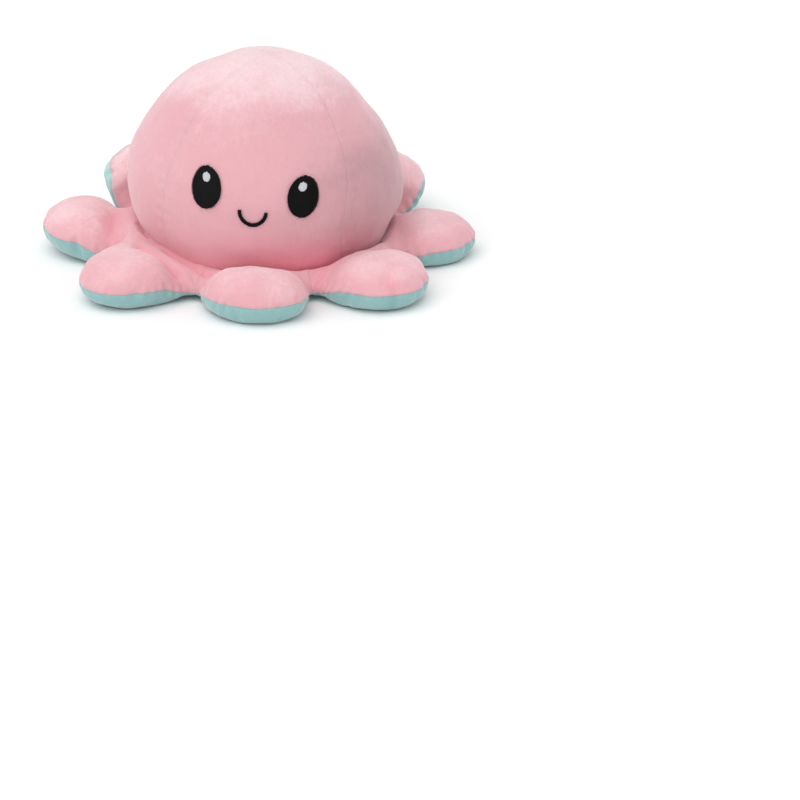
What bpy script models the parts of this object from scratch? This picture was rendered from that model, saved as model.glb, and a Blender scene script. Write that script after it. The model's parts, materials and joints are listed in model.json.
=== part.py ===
"""A plush octopus with eight padded tentacles, made of two skins with filling between them.

The rose skin is outside: a head of four panels and the tops of the tentacles. The aqua skin covers
the undersides and lines the pocket under the head, where it has a face of its own, because the toy
can be turned inside out. The toy stands on z = 0 and looks along -Y. Left and right are those of
someone facing it, so left is -X. Lengths are in metres.
"""

import math

import bmesh
import bpy
from mathutils import Matrix, Vector

# Colours in linear light, and how far two faces may turn before their edge shows
ROSE = (0.87, 0.53, 0.56)
AQUA = (0.37, 0.62, 0.59)
FIBRE_WHITE = (0.9, 0.9, 0.88)
THREAD_BLACK = (0.006, 0.005, 0.007)
THREAD_WHITE = (0.8, 0.8, 0.8)
CLOTH_ROUGHNESS = 0.9
THREAD_ROUGHNESS = 0.6
SHARP_ANGLE = math.radians(40)

# Cloth, thread and the space between pieces that touch
FABRIC_THICKNESS = 0.0015
CONTACT_GAP = 0.0003

# Head: a wide dome with sloping shoulders, narrower at the neck seam, which leans to the right
HEAD_RADIUS = 0.0625
CROWN_HEIGHT = 0.0550
CROWN_POWER = 1.17
SHOULDER_DIP_SHARE = 0.035
SHOULDER_LATITUDE = 0.50
SHOULDER_SPREAD = 0.28
CHEEK_DEPTH = 0.050
NECK_TUCK = 0.0095
NECK_HEIGHT = 0.0155
LEAN_RISE = 0.0245
HEAD_LEAN = math.radians(5)
PANEL_COUNT = 4
PANEL_COLUMNS = 8
HEAD_ROWS = 11
SEAM_DIP = 0.0008
SEAM_SPREAD = math.radians(12)

# Pocket under the head, lined with the second skin
POCKET_MOUTH_RADIUS = 0.027
POCKET_BULGE = 0.004
POCKET_WIDEST_HEIGHT = 0.028
POCKET_DOME_HEIGHT = 0.030
POCKET_ROWS = 9

# Tentacles: each folds about a straight line on the collar. No two are stuffed or lie quite alike, so
# each one's reach, height and edge seam have a share of the usual, in the order of SIDE_NAMES. The two
# behind the cheeks curl up over a stretch past the fold, about a line at the height of their tops
TENTACLE_COUNT = 8
TENTACLE_REACH = 0.046
TENTACLE_WIDTH = 0.050
TENTACLE_HEIGHT = 0.0225
REACH_SHARES = (0.95, 1, 1, 0.85, 0.95, 0.85, 1, 1)
STUFFING_SHARES = (0.97, 0.93, 0.85, 1, 1.08, 1, 1, 1)
TENTACLE_SIDE_GAP = 0.0012
EDGE_SEAM_HEIGHT = 0.0095
SEAM_LIFT_SHARES = (1.05, 1, 0.95, 1.05, 1, 1.05, 0.95, 1.03)
CURL_ANGLES = tuple(math.radians(angle) for angle in (0, 0, 0, 28, 0, 40, 0, 0))
FOLD_TO_CURL = 0.006
CURL_STRETCH = 0.016
CURL_LINE = 0.012
CURL_HEIGHT = 0.015
NECK_TO_FOLD = 0.001
NECK_ABOVE_FOLD = 0.0015
FOLD_GAP = 0.0005
DROOP_ANGLE = math.radians(10)
SHOULDER_SHARES = (0, 0.22, 0.45, 0.72, 1)
TIP_ANGLES = tuple(math.radians(angle) for angle in (22, 42, 60, 76))
TOP_COLUMNS = 10
UNDERSIDE_COLUMNS = 8
ROOT_PUFF_POWER = 0.35
PAD_PUFF_POWER = 0.75
TIP_PUFF_POWER = 0.8
SOLE_FLATNESS = 1.15

# Embroidered faces
THREAD_THICKNESS = 0.0008
GLINT_THICKNESS = 0.0005
EYE_WIDTH = 0.0145
EYE_HEIGHT = 0.0180
EYE_OFFSET_SHARE = 0.35
EYE_RISE = 0.0083
FACE_TURN = 0.0021
GLINT_WIDTH = 0.0036
GLINT_RISE = 0.0045
MOUTH_RADIUS = 0.0058
MOUTH_LINE = 0.0016
MOUTH_RISE = 0.0012
POCKET_EYE_WIDTH = 0.0135
POCKET_EYE_HEIGHT = 0.0115
POCKET_EYE_OFFSET_SHARE = 0.435
POCKET_EYE_RISE = 0.006
FROWN_RADIUS = 0.0048
FROWN_DROP = 0.0105
BROW_SLANT = math.radians(10)
BROW_SHARE = 0.25
PATCH_POINTS = 20
PATCH_SHARES = (0.5, 1)
MOUTH_STEPS = 12

# Places worked out from the sizes above
NECK_RADIUS = HEAD_RADIUS - NECK_TUCK
NECK_LATITUDE = -math.acos(NECK_RADIUS / HEAD_RADIUS)
WIDEST_HEIGHT = NECK_HEIGHT - CHEEK_DEPTH * math.sin(NECK_LATITUDE)
EYE_OFFSET = HEAD_RADIUS * EYE_OFFSET_SHARE
POCKET_RADIUS = POCKET_MOUTH_RADIUS + POCKET_BULGE
POCKET_MOUTH_LATITUDE = -math.acos(POCKET_MOUTH_RADIUS / POCKET_RADIUS)
POCKET_DEPTH = POCKET_WIDEST_HEIGHT / -math.sin(POCKET_MOUTH_LATITUDE)
POCKET_EYE_OFFSET = POCKET_RADIUS * POCKET_EYE_OFFSET_SHARE
FOLD_RADIUS = NECK_RADIUS + NECK_TO_FOLD
FOLD_HEIGHT = NECK_HEIGHT - NECK_ABOVE_FOLD
SHOULDER_RADIUS = FOLD_RADIUS + TENTACLE_REACH - TENTACLE_WIDTH / 2
SECTOR = 2 * math.pi / TENTACLE_COUNT
FILLING_INSET = FABRIC_THICKNESS + CONTACT_GAP
SIDE_NAMES = ("front", "front_right", "right", "back_right", "back", "back_left", "left", "front_left")
FRONT_ANGLE = -math.pi / 2


def make_material(name, colour, roughness):
    """A matt cloth or thread, with no metal in it."""
    material = bpy.data.materials.new(name)
    material.use_nodes = True
    shader = material.node_tree.nodes["Principled BSDF"]
    shader.inputs["Base Color"].default_value = (*colour, 1)
    shader.inputs["Roughness"].default_value = roughness
    shader.inputs["Metallic"].default_value = 0
    return material


def span(mesh, upper, lower):
    """Faces between two rows of vertices, either of which may be a single pole."""
    if len(upper) == 1 and len(lower) == 1:
        return
    if len(upper) == 1:
        for left, right in zip(lower, lower[1:]):
            mesh.faces.new((upper[0], left, right))
    elif len(lower) == 1:
        for left, right in zip(upper, upper[1:]):
            mesh.faces.new((left, right, lower[0]))
    else:
        for column in range(len(upper) - 1):
            mesh.faces.new((upper[column], upper[column + 1], lower[column + 1], lower[column]))


def finish_object(name, mesh, material, turn=0):
    """Turns the faces outwards and puts the solid in the scene, turned about Z."""
    bmesh.ops.recalc_face_normals(mesh, faces=mesh.faces)
    data = bpy.data.meshes.new(name)
    mesh.to_mesh(data)
    mesh.free()
    data.shade_smooth()
    data.set_sharp_from_angle(angle=SHARP_ANGLE)
    data.materials.append(material)
    obj = bpy.data.objects.new(name, data)
    obj.rotation_euler = (0, 0, turn)
    bpy.context.scene.collection.objects.link(obj)


def loft(name, rings, material, wrap=False, turn=0):
    """A solid through closed rings. A ring of one point is a pole; wrap joins the last ring to the first."""
    mesh = bmesh.new()
    rows = [[mesh.verts.new(point) for point in ring] for ring in rings]
    closed = [row + row[:1] if len(row) > 1 else row for row in rows]
    for upper, lower in zip(closed, closed[1:] + closed[:1] if wrap else closed[1:]):
        span(mesh, upper, lower)
    if not wrap:
        for row in (rows[0], rows[-1]):
            if len(row) > 1:
                mesh.faces.new(row)
    finish_object(name, mesh, material, turn)


def cloth(name, outer, inner, material, turn=0):
    """A cut piece of fabric between two grids of points that match row by row, closed round its rim."""
    mesh = bmesh.new()
    rims = []
    for grid in (outer, inner):
        rows = [[mesh.verts.new(point) for point in row] for row in grid]
        for upper, lower in zip(rows, rows[1:]):
            span(mesh, upper, lower)
        right_side = [row[-1] for row in rows[1:-1]]
        left_side = [row[0] for row in reversed(rows[1:-1])]
        rims.append(rows[0] + right_side + rows[-1][::-1] + left_side)
    span(mesh, rims[0] + rims[0][:1], rims[1] + rims[1][:1])
    finish_object(name, mesh, material, turn)


def smooth_step(share):
    """0 below 0, 1 above 1 and an even S between them."""
    held = min(1, max(0, share))
    return held * held * (3 - 2 * held)


def lean(point):
    """The head tips to the right above its neck seam, which stays level."""
    angle = HEAD_LEAN * smooth_step((point.z - NECK_HEIGHT) / LEAN_RISE)
    pivot = Vector((0, 0, NECK_HEIGHT))
    return Matrix.Rotation(angle, 3, "Y") @ (point - pivot) + pivot


def head_share(latitude):
    """The head's radius there, as a share of its widest: the crown draws in sooner than a ball would."""
    shoulder = 1 - SHOULDER_DIP_SHARE * math.exp(-(((latitude - SHOULDER_LATITUDE) / SHOULDER_SPREAD) ** 2))
    return math.cos(latitude) ** (CROWN_POWER if latitude > 0 else 1) * shoulder


def head_point(angle, latitude, inset=0):
    """A point of the head's skin, or of a layer that lies inset under it."""
    height = CROWN_HEIGHT if latitude > 0 else CHEEK_DEPTH
    seam_angle = math.pi / PANEL_COUNT
    from_seam = (angle - FRONT_ANGLE) % (2 * seam_angle) - seam_angle
    dip = SEAM_DIP * math.exp(-((from_seam / SEAM_SPREAD) ** 2))
    radius = (HEAD_RADIUS - inset - dip) * head_share(latitude)
    level = WIDEST_HEIGHT + (height - inset) * math.sin(latitude)
    return lean(Vector((radius * math.cos(angle), radius * math.sin(angle), level)))


def pocket_point(angle, latitude, outset=0):
    """A point of the pocket's wall, or of a layer that lies outset behind it."""
    height = POCKET_DOME_HEIGHT + outset if latitude > 0 else POCKET_DEPTH
    radius = (POCKET_RADIUS + outset) * math.cos(latitude)
    level = POCKET_WIDEST_HEIGHT + height * math.sin(latitude)
    return Vector((radius * math.cos(angle), radius * math.sin(angle), level))


def pocket_latitudes():
    """From the top of the pocket to the upper side of the sole, where its lining is sewn on."""
    lowest = -math.asin((POCKET_WIDEST_HEIGHT - FILLING_INSET) / POCKET_DEPTH)
    return spread(math.pi / 2, lowest, POCKET_ROWS)


def spread(first, last, steps):
    """Evenly spaced values from first to last."""
    return [first + (last - first) * step / steps for step in range(steps + 1)]


def panel_angles(middle):
    """The columns of one panel, from seam to seam."""
    half = math.pi / PANEL_COUNT
    return spread(middle - half, middle + half, PANEL_COLUMNS)


def seam_shift(point, middle, column):
    """Draws a panel's two side edges back from the seam by half the contact gap."""
    if 0 < column < PANEL_COLUMNS:
        return point
    sign = 1 if column == 0 else -1
    side = math.pi / PANEL_COUNT
    inward = middle - sign * side + sign * math.pi / 2
    return point + Vector((math.cos(inward), math.sin(inward), 0)) * (CONTACT_GAP / 2)


def panel_grid(surface, middle, latitudes, depth):
    """The points of one panel: a pole at the top, then a row for each latitude."""
    pole = surface(middle, latitudes[0], depth)
    pole += Vector((math.cos(middle), math.sin(middle), 0)) * CONTACT_GAP
    grid = [[pole]]
    for latitude in latitudes[1:]:
        row = [surface(angle, latitude, depth) for angle in panel_angles(middle)]
        grid.append([seam_shift(point, middle, column) for column, point in enumerate(row)])
    return grid


def make_panels(prefix, surface, latitudes, depths, material):
    """The four cut panels of one skin, named for the sides that they face."""
    for index in range(PANEL_COUNT):
        side = SIDE_NAMES[index * TENTACLE_COUNT // PANEL_COUNT]
        middle = FRONT_ANGLE + index * 2 * math.pi / PANEL_COUNT
        grids = [panel_grid(surface, middle, latitudes, depth) for depth in depths]
        cloth(f"{prefix}_{side}", *grids, material)


def ring_angles():
    """One column for each panel column, all round."""
    columns = PANEL_COUNT * PANEL_COLUMNS
    start = FRONT_ANGLE - math.pi / PANEL_COUNT
    return [start + 2 * math.pi * column / columns for column in range(columns)]


def circle(radius, level):
    """A level ring round the toy's axis."""
    return [Vector((radius * math.cos(angle), radius * math.sin(angle), level)) for angle in ring_angles()]


def collar_ring(level, inset=0):
    """Eight straight sides under the neck, slanting inwards below the folds so that tentacles can droop."""
    apothem = FOLD_RADIUS - FOLD_GAP - (FOLD_HEIGHT - level) * math.tan(DROOP_ANGLE) - inset
    ring = []
    for angle in ring_angles():
        from_middle = (angle - FRONT_ANGLE + SECTOR / 2) % SECTOR - SECTOR / 2
        radius = apothem / math.cos(from_middle)
        ring.append(Vector((radius * math.cos(angle), radius * math.sin(angle), level)))
    return ring


def make_collar(material):
    """The band of the outer skin between the neck seam and the sole, which the tentacles are sewn to."""
    low = FILLING_INSET
    high = NECK_HEIGHT - CONTACT_GAP
    rings = [collar_ring(low), collar_ring(high)]
    rings += [collar_ring(high, FABRIC_THICKNESS), collar_ring(low, FABRIC_THICKNESS)]
    loft("tentacle_collar", rings, material, wrap=True)


def make_sole(material):
    """The flat underside ring round the pocket's mouth, which the toy stands on."""
    rings = []
    for level in (0, FABRIC_THICKNESS):
        rings.append((circle(POCKET_MOUTH_RADIUS, level), collar_ring(level)))
    loft("underside_ring", [rings[0][0], rings[0][1], rings[1][1], rings[1][0]], material, wrap=True)


def make_head_filling(material):
    """One lump of fibre that fills the head round its pocket and reaches down to the sole."""
    latitudes = spread(math.pi / 2, NECK_LATITUDE, HEAD_ROWS)
    rings = [[head_point(FRONT_ANGLE, latitudes[0], FILLING_INSET)]]
    for latitude in latitudes[1:]:
        rings.append([head_point(angle, latitude, FILLING_INSET) for angle in ring_angles()])
    under_neck = NECK_HEIGHT - CONTACT_GAP
    rings.append(circle(NECK_RADIUS - FILLING_INSET, under_neck))
    for level in (under_neck, FILLING_INSET):
        rings.append(collar_ring(level, FILLING_INSET))
    for latitude in pocket_latitudes()[:0:-1]:
        rings.append([pocket_point(angle, latitude, FILLING_INSET) for angle in ring_angles()])
    rings.append([pocket_point(FRONT_ANGLE, math.pi / 2, FILLING_INSET)])
    loft("head_filling", rings, material)


def tentacle_half_width(radius):
    """Half the pad's width short of its round tip, where its neighbours leave it that much."""
    return min(radius * math.tan(SECTOR / 2) - TENTACLE_SIDE_GAP, TENTACLE_WIDTH / 2)


class Tentacle:
    """One tentacle's own sizes, and the points of its skins in its own frame, with +X outwards."""

    def __init__(self, index):
        self.tip_length = FOLD_RADIUS + TENTACLE_REACH * REACH_SHARES[index] - SHOULDER_RADIUS
        self.height = TENTACLE_HEIGHT * STUFFING_SHARES[index]
        self.edge = EDGE_SEAM_HEIGHT * SEAM_LIFT_SHARES[index]
        self.curl = CURL_ANGLES[index]

    def stations(self):
        """From root to tip: (how far round the tip, share of the way to the shoulder, top, seam, bottom)."""
        stations = []
        for share in SHOULDER_SHARES:
            rise = (self.height - FOLD_HEIGHT) * smooth_step(share)
            seam = EDGE_SEAM_HEIGHT + (self.edge - EDGE_SEAM_HEIGHT) * smooth_step(share)
            stations.append((0, share, FOLD_HEIGHT + rise, seam, 0))
        for angle in TIP_ANGLES:
            rise = (self.height - self.edge) * math.cos(angle) ** TIP_PUFF_POWER
            lift = self.edge * (1 - min(1, SOLE_FLATNESS * math.sqrt(math.cos(angle))))
            stations.append((angle, 1, self.edge + rise, self.edge, lift))
        return stations

    def curled(self, point):
        """Turns a point up about the curl line, more the further out it lies."""
        start = FOLD_RADIUS + FOLD_TO_CURL
        angle = self.curl * smooth_step((point.x - start) / CURL_STRETCH)
        pivot = Vector((FOLD_RADIUS + CURL_LINE, 0, CURL_HEIGHT))
        return Matrix.Rotation(-angle, 3, "Y") @ (point - pivot) + pivot

    def point(self, station, around, inset, shift):
        """A point of the layer that lies inset under the skin; shift raises the edge seam."""
        angle, share, top, seam, bottom = station
        seam_level = seam + shift
        radius = FOLD_RADIUS + (SHOULDER_RADIUS - FOLD_RADIUS) * share
        half_width = (tentacle_half_width(radius) - inset) * math.cos(angle)
        radius += (self.tip_length - inset) * math.sin(angle)
        height = math.sin(around)
        if height >= 0:
            power = ROOT_PUFF_POWER + (PAD_PUFF_POWER - ROOT_PUFF_POWER) * smooth_step(share)
            level = seam_level + (top - inset - seam_level) * height**power
        else:
            depth = min(1, SOLE_FLATNESS * math.sqrt(-height))
            level = seam_level - (seam_level - bottom - inset) * depth
        return self.curled(Vector((radius, half_width * math.cos(around), level)))

    def grid(self, arounds, inset, shift=0):
        """Rows of points from the root to the pole at the tip."""
        rows = []
        for station in self.stations():
            rows.append([self.point(station, around, inset, shift) for around in arounds])
        pole = Vector((SHOULDER_RADIUS + self.tip_length - inset, 0, self.edge + shift))
        return rows + [[self.curled(pole)]]


def make_tentacle(index, outer_cloth, inner_cloth, fibre):
    """One padded tentacle: its top and underside, sewn along the edge, and the fibre in it."""
    name = f"{SIDE_NAMES[index]}_tentacle"
    turn = FRONT_ANGLE + index * SECTOR
    tentacle = Tentacle(index)
    over = spread(0, math.pi, TOP_COLUMNS)
    under = spread(math.pi, 2 * math.pi, UNDERSIDE_COLUMNS)
    half_gap = CONTACT_GAP / 2
    halves = (("top", over, half_gap, outer_cloth), ("underside", under, -half_gap, inner_cloth))
    for piece, arounds, shift, material in halves:
        layers = [tentacle.grid(arounds, inset, shift) for inset in (0, FABRIC_THICKNESS)]
        cloth(f"{name}_{piece}", *layers, material, turn)
    loft(f"{name}_filling", tentacle.grid(over + under[1:-1], FILLING_INSET), fibre, turn=turn)


def on_head(across, up, out):
    """A place on the front of the head: sideways and up along the skin from the widest level, and out of it."""
    height = CROWN_HEIGHT if up > 0 else CHEEK_DEPTH
    latitude = up / height
    angle = FRONT_ANGLE + across / (HEAD_RADIUS * head_share(latitude))
    return head_point(angle, latitude, -out)


def in_pocket(across, up, out):
    """The same on the front wall of the pocket, seen from inside it and measured from its widest level."""
    latitude = up / POCKET_DOME_HEIGHT
    angle = FRONT_ANGLE - across / (POCKET_RADIUS * math.cos(latitude))
    return pocket_point(angle, latitude, -out)


def oval(width, height):
    """The outline of an upright oval eye."""
    angles = [2 * math.pi * step / PATCH_POINTS for step in range(PATCH_POINTS)]
    return [(width / 2 * math.cos(angle), height / 2 * math.sin(angle)) for angle in angles]


def scowl(width, height, mirror):
    """An oval cut off at the top by a brow that slants down towards the middle of the face."""
    outline = []
    for across, up in oval(width, 2 * height * (1 - BROW_SHARE)):
        brow = BROW_SHARE * height + mirror * across * math.tan(BROW_SLANT)
        outline.append((across, min(up, brow)))
    return outline


def patch(name, surface, outline, centre, base, thickness, material):
    """A satin-stitched patch that lies on the skin, base above it."""
    layers = []
    for out in (base + thickness, base):
        layer = [[surface(*centre, out)]]
        for share in PATCH_SHARES:
            layer.append([surface(centre[0] + x * share, centre[1] + y * share, out) for x, y in outline])
        layers.append(layer)
    loft(name, layers[0] + layers[1][::-1], material)


def stitched_arc(name, surface, centre, radius, bow, base, material):
    """A line of stitches along half a circle: bow is -1 for a smile and 1 for a frown."""
    rings = []
    for angle in spread(0, math.pi, MOUTH_STEPS):
        ring = []
        for reach, out in ((-1, base), (1, base), (1, base + THREAD_THICKNESS), (-1, base + THREAD_THICKNESS)):
            distance = radius + reach * MOUTH_LINE / 2
            across = centre[0] + distance * math.cos(angle)
            up = centre[1] + bow * distance * math.sin(angle)
            ring.append(surface(across, up, out))
        rings.append(ring)
    loft(name, rings, material)


def make_happy_face(black, white):
    """Two oval eyes with a light spot each, and a smile, on the front panel of the head."""
    glint_base = CONTACT_GAP + THREAD_THICKNESS + CONTACT_GAP
    for side, sign in (("left", -1), ("right", 1)):
        centre = (sign * EYE_OFFSET - FACE_TURN, EYE_RISE)
        outline = oval(EYE_WIDTH, EYE_HEIGHT)
        patch(f"{side}_eye", on_head, outline, centre, CONTACT_GAP, THREAD_THICKNESS, black)
        spot = (centre[0], centre[1] + GLINT_RISE)
        outline = oval(GLINT_WIDTH, GLINT_WIDTH)
        patch(f"{side}_eye_glint", on_head, outline, spot, glint_base, GLINT_THICKNESS, white)
    stitched_arc("smile", on_head, (-FACE_TURN, MOUTH_RISE), MOUTH_RADIUS, -1, CONTACT_GAP, black)


def make_grumpy_face(black, white):
    """Two scowling eyes and a frown on the front panel of the lining, inside the pocket."""
    base = 2 * CONTACT_GAP
    glint_base = base + THREAD_THICKNESS + CONTACT_GAP
    for side, sign in (("left", -1), ("right", 1)):
        centre = (sign * POCKET_EYE_OFFSET, POCKET_EYE_RISE)
        outline = scowl(POCKET_EYE_WIDTH, POCKET_EYE_HEIGHT, sign)
        patch(f"pocket_{side}_eye", in_pocket, outline, centre, base, THREAD_THICKNESS, black)
        spot = (centre[0] + GLINT_WIDTH / 2, centre[1])
        outline = oval(GLINT_WIDTH, GLINT_WIDTH)
        patch(f"pocket_{side}_eye_glint", in_pocket, outline, spot, glint_base, GLINT_THICKNESS, white)
    stitched_arc("pocket_frown", in_pocket, (0, -FROWN_DROP), FROWN_RADIUS, 1, base, black)


def main():
    for obj in list(bpy.data.objects):
        bpy.data.objects.remove(obj)
    rose = make_material("rose_plush", ROSE, CLOTH_ROUGHNESS)
    aqua = make_material("aqua_plush", AQUA, CLOTH_ROUGHNESS)
    fibre = make_material("fibre_filling", FIBRE_WHITE, CLOTH_ROUGHNESS)
    black = make_material("black_thread", THREAD_BLACK, THREAD_ROUGHNESS)
    white = make_material("white_thread", THREAD_WHITE, THREAD_ROUGHNESS)

    head_latitudes = spread(math.pi / 2, NECK_LATITUDE, HEAD_ROWS)
    make_panels("head_panel", head_point, head_latitudes, (0, FABRIC_THICKNESS), rose)
    make_panels("lining_panel", pocket_point, pocket_latitudes(), (FABRIC_THICKNESS, 0), aqua)
    make_head_filling(fibre)
    make_collar(rose)
    make_sole(aqua)
    for index in range(TENTACLE_COUNT):
        make_tentacle(index, rose, aqua, fibre)
    make_happy_face(black, white)
    make_grumpy_face(black, white)


main()
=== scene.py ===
"""Dresses a plush octopus that can be turned inside out: two plush skins, their filling and two faces.

Run as a script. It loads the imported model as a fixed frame, models the soft skins over it, embroiders the
faces and sets up a pale studio. The toy stands on z = 0 and looks along -Y. Left and right are those of
someone facing it, so left is -X. Lengths are in metres.
"""

import contextlib
import functools
import json
import math
from typing import Callable, NamedTuple

import bpy
import numpy as np
from bpy.props import FloatProperty, FloatVectorProperty, IntProperty, PointerProperty
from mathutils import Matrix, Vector, kdtree, noise


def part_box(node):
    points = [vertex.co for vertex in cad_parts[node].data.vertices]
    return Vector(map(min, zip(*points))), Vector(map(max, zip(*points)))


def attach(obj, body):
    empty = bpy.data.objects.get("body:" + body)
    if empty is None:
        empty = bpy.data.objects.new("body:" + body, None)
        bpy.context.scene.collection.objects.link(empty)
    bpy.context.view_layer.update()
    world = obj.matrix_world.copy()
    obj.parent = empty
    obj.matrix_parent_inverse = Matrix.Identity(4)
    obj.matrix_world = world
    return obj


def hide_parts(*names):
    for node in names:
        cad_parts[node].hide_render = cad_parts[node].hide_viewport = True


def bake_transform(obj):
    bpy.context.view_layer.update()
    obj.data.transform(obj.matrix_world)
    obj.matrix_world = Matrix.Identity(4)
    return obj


bl_info = {
    "name": "Plush Octopus",
    "version": (1, 0, 0),
    "blender": (4, 5, 0),
    "location": "3D View > Sidebar > Octopus",
    "description": "Models the padded skins and the embroidery of a plush octopus round its frame",
    "category": "Add Mesh",
}

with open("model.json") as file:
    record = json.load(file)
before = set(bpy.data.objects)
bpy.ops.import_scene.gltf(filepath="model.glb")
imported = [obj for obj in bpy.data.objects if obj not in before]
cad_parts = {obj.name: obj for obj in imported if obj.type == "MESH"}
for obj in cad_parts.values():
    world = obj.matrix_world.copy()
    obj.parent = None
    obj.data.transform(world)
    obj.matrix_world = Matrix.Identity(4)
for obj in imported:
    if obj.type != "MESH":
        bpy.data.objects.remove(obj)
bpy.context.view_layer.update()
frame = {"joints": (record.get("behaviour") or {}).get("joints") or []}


class Ramp(NamedTuple):
    """A soft step up: where it starts, over what length it rises, and how high."""

    start: float
    length: float
    height: float = 1.0

    def at(self, values):
        return self.height * smooth((values - self.start) / self.length)


class Bump(NamedTuple):
    """A soft rise that fades to both sides: where its middle is, how wide it is and how high."""

    middle: float
    width: float
    height: float = 1.0

    def at(self, values):
        return self.height * bell(values - self.middle, self.width)


class Gathers(NamedTuple):
    """Small gathers beside a seam, which wander along it, and come and go from patch to patch."""

    wander: float
    wander_size: float
    wander_octaves: int
    presence: float
    contrast: float
    patch_size: float

    def at(self, points, run, length, seed, patch_seed):
        wandering = self.wander * lumps(points, self.wander_size, seed, self.wander_octaves)
        patches = self.presence + self.contrast * lumps(points, self.patch_size, patch_seed, 1)
        return np.sin(2 * math.pi * run / length + wandering) * smooth(patches)


class Filling(NamedTuple):
    """Soft lumps of the filling: the size of the broad ones, and the size and share of the finer ones."""

    broad: float
    fine: float
    fine_share: float

    def at(self, points, seed, fine_seed):
        return lumps(points, self.broad, seed, 1) + self.fine_share * lumps(points, self.fine, fine_seed, 2)


# What the frame gives: where each tentacle folds, and how large the head and the pocket are
FOLDS = {joint["child"]: joint["pos_m"] for joint in frame["joints"]}
FOLD_RADIUS = max(math.hypot(x, y) for x, y, z in FOLDS.values())
FOLD_HEIGHT = max(z for x, y, z in FOLDS.values())
SECTOR = 2 * math.pi / len(FOLDS)
FRONT_PANEL_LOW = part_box("head_panel_front")[0]
HEAD_RADIUS = -FRONT_PANEL_LOW.y
NECK_HEIGHT = FRONT_PANEL_LOW.z
POCKET_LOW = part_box("lining_panel_front")[0]
FRONT_ANGLE = -math.pi / 2
PANEL_SIDES = ("front", "right", "back", "left")
PANEL_ANGLE = 2 * math.pi / len(PANEL_SIDES)

# Meshes: doubles closer than this are merged, and edges sharper than this stay sharp
MERGE_DISTANCE = 0.000004
SHARP_ANGLE = math.radians(50)
SKIN_THICKNESS = 0.0013

# Head: the same dome as the frame's, which leans to the right above a level neck
CROWN_HEIGHT = 0.0552
CROWN_POWER = 1.15
LEFT_POWER = 0.03
SHOULDER_DIP = 0.070
SHOULDER_LATITUDE = 0.58
SHOULDER_SPREAD = 0.32
RIGHT_DIP = 0.010
RIGHT_LATITUDE = 0.12
CHEEK_DEPTH = 0.050
CHEEK_ANGLE = math.radians(-35)
CHEEK_FULLNESS = 0.55
CHEEK_DROOP = 0.0050
BULGE = Bump(-0.17, 0.30, 0.0030)
BULGE_ANGLE = math.radians(-3)
BULGE_WIDTH = 0.50
NECK_SETBACK = 0.0095
NECK_RADIUS = HEAD_RADIUS - NECK_SETBACK
NECK_LATITUDE = -math.acos(NECK_RADIUS / HEAD_RADIUS)
WIDEST_HEIGHT = NECK_HEIGHT - CHEEK_DEPTH * math.sin(NECK_LATITUDE)
LEAN_RISE = 0.0245
PANEL_COLUMNS = 116
PANEL_ROWS = 150
HEAD_FILLING = Filling(0.034, 0.012, 0.45)
FINE_SEED_STEP = 9

# Seams between gores: soft hollows with gathers, and edges turned in; the one by the face drifts towards it
SEAM_HOLLOW_WIDTH = 0.011
SEAM_DRIFT = Bump(-0.10, 0.45, math.radians(6.6))
SEAM_ALLOWANCE = 0.0010
SEAM_TURN_INS = (0.00030, 0.00016, 0.00016, 0.00004)
LEAST_TURN_IN = 0.40
TURN_IN_MIDWAY = Bump(0.0, 0.45, 0.75)
GORE_GATHERS = Gathers(4, 0.020, 2, 0.5, 1.0, 0.017)
GORE_GATHER_LENGTH = 0.0058
GORE_GATHER_WIDTH = 0.007
GORE_SEED_STEPS = (5, 3)
NEAR_CROWN = Ramp(8.2 / 9, 1 / 9)
CROWN_CALM = 0.9
EVEN_SHARE = 0.45

# Pocket: a smaller dome pushed up into the head, open at the sole
POCKET_MOUTH_RADIUS = 0.027
POCKET_RADIUS = 0.031
POCKET_WIDEST_HEIGHT = 0.028
POCKET_DOME_HEIGHT = 0.030
POCKET_MOUTH_LATITUDE = -math.acos(POCKET_MOUTH_RADIUS / POCKET_RADIUS)
POCKET_DEPTH = POCKET_WIDEST_HEIGHT / -math.sin(POCKET_MOUTH_LATITUDE)
POCKET_RIM_LATITUDE = -math.asin((POCKET_WIDEST_HEIGHT - POCKET_LOW.z) / POCKET_DEPTH)
POCKET_LUMP_SHARE = 0.4
LINING_COLUMNS = 56
LINING_ROWS = 84

# Tentacles, each along its own +X: a shared skirt round the neck, then a free round lobe
ROOT_RADIUS = 0.0484
NOTCH_RADIUS = 0.0636
NOTCH_LENGTH = 0.0044
LOBE_NECK = 0.0236
SHOULDER_RADIUS = 0.0745
SIDE_GAP = 0.00003
PARTING_GAP = 0.00003
ROOT_SHARE, NOTCH_SHARE, NOTCH_END_SHARE, SHOULDER_SHARE = 0.02, 0.30, 0.42, 0.55
TOP_SEGMENTS = 112
TOP_RINGS = 118
LOBE_RISE = Ramp(NOTCH_RADIUS, SHOULDER_RADIUS - NOTCH_RADIUS)
CROWN_RISE = Ramp(0.050, 0.027)
PILLOW_RISE = Ramp(NOTCH_RADIUS - 0.001, 0.012)
PILLOW_POWER = 2.3
NECK_RISE = Bump(NECK_RADIUS + 0.002, 0.0055, 0.0019)
VALLEY_PLACES = (0.050, 0.054, 0.058, 0.062, 0.066)
VALLEY_HEIGHTS = (0.0142, 0.0140, 0.0136, 0.0128, 0.0118)
SIDE_SHARE = 0.76
EDGE_ROUNDING = 0.0125
SOLE_ROUNDING_SHARE = 1.05
SKIRT_SEAM_HEIGHT = 0.0045
SEAM_TOP_RADIUS = 0.083
SEAM_RISE = Ramp(NOTCH_RADIUS, SEAM_TOP_RADIUS - NOTCH_RADIUS)
NOTCH_ARCH = 0.0028
ARCH_SPREAD = 0.008
SWAY_RISE = Ramp(0.062, 0.034)
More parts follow.
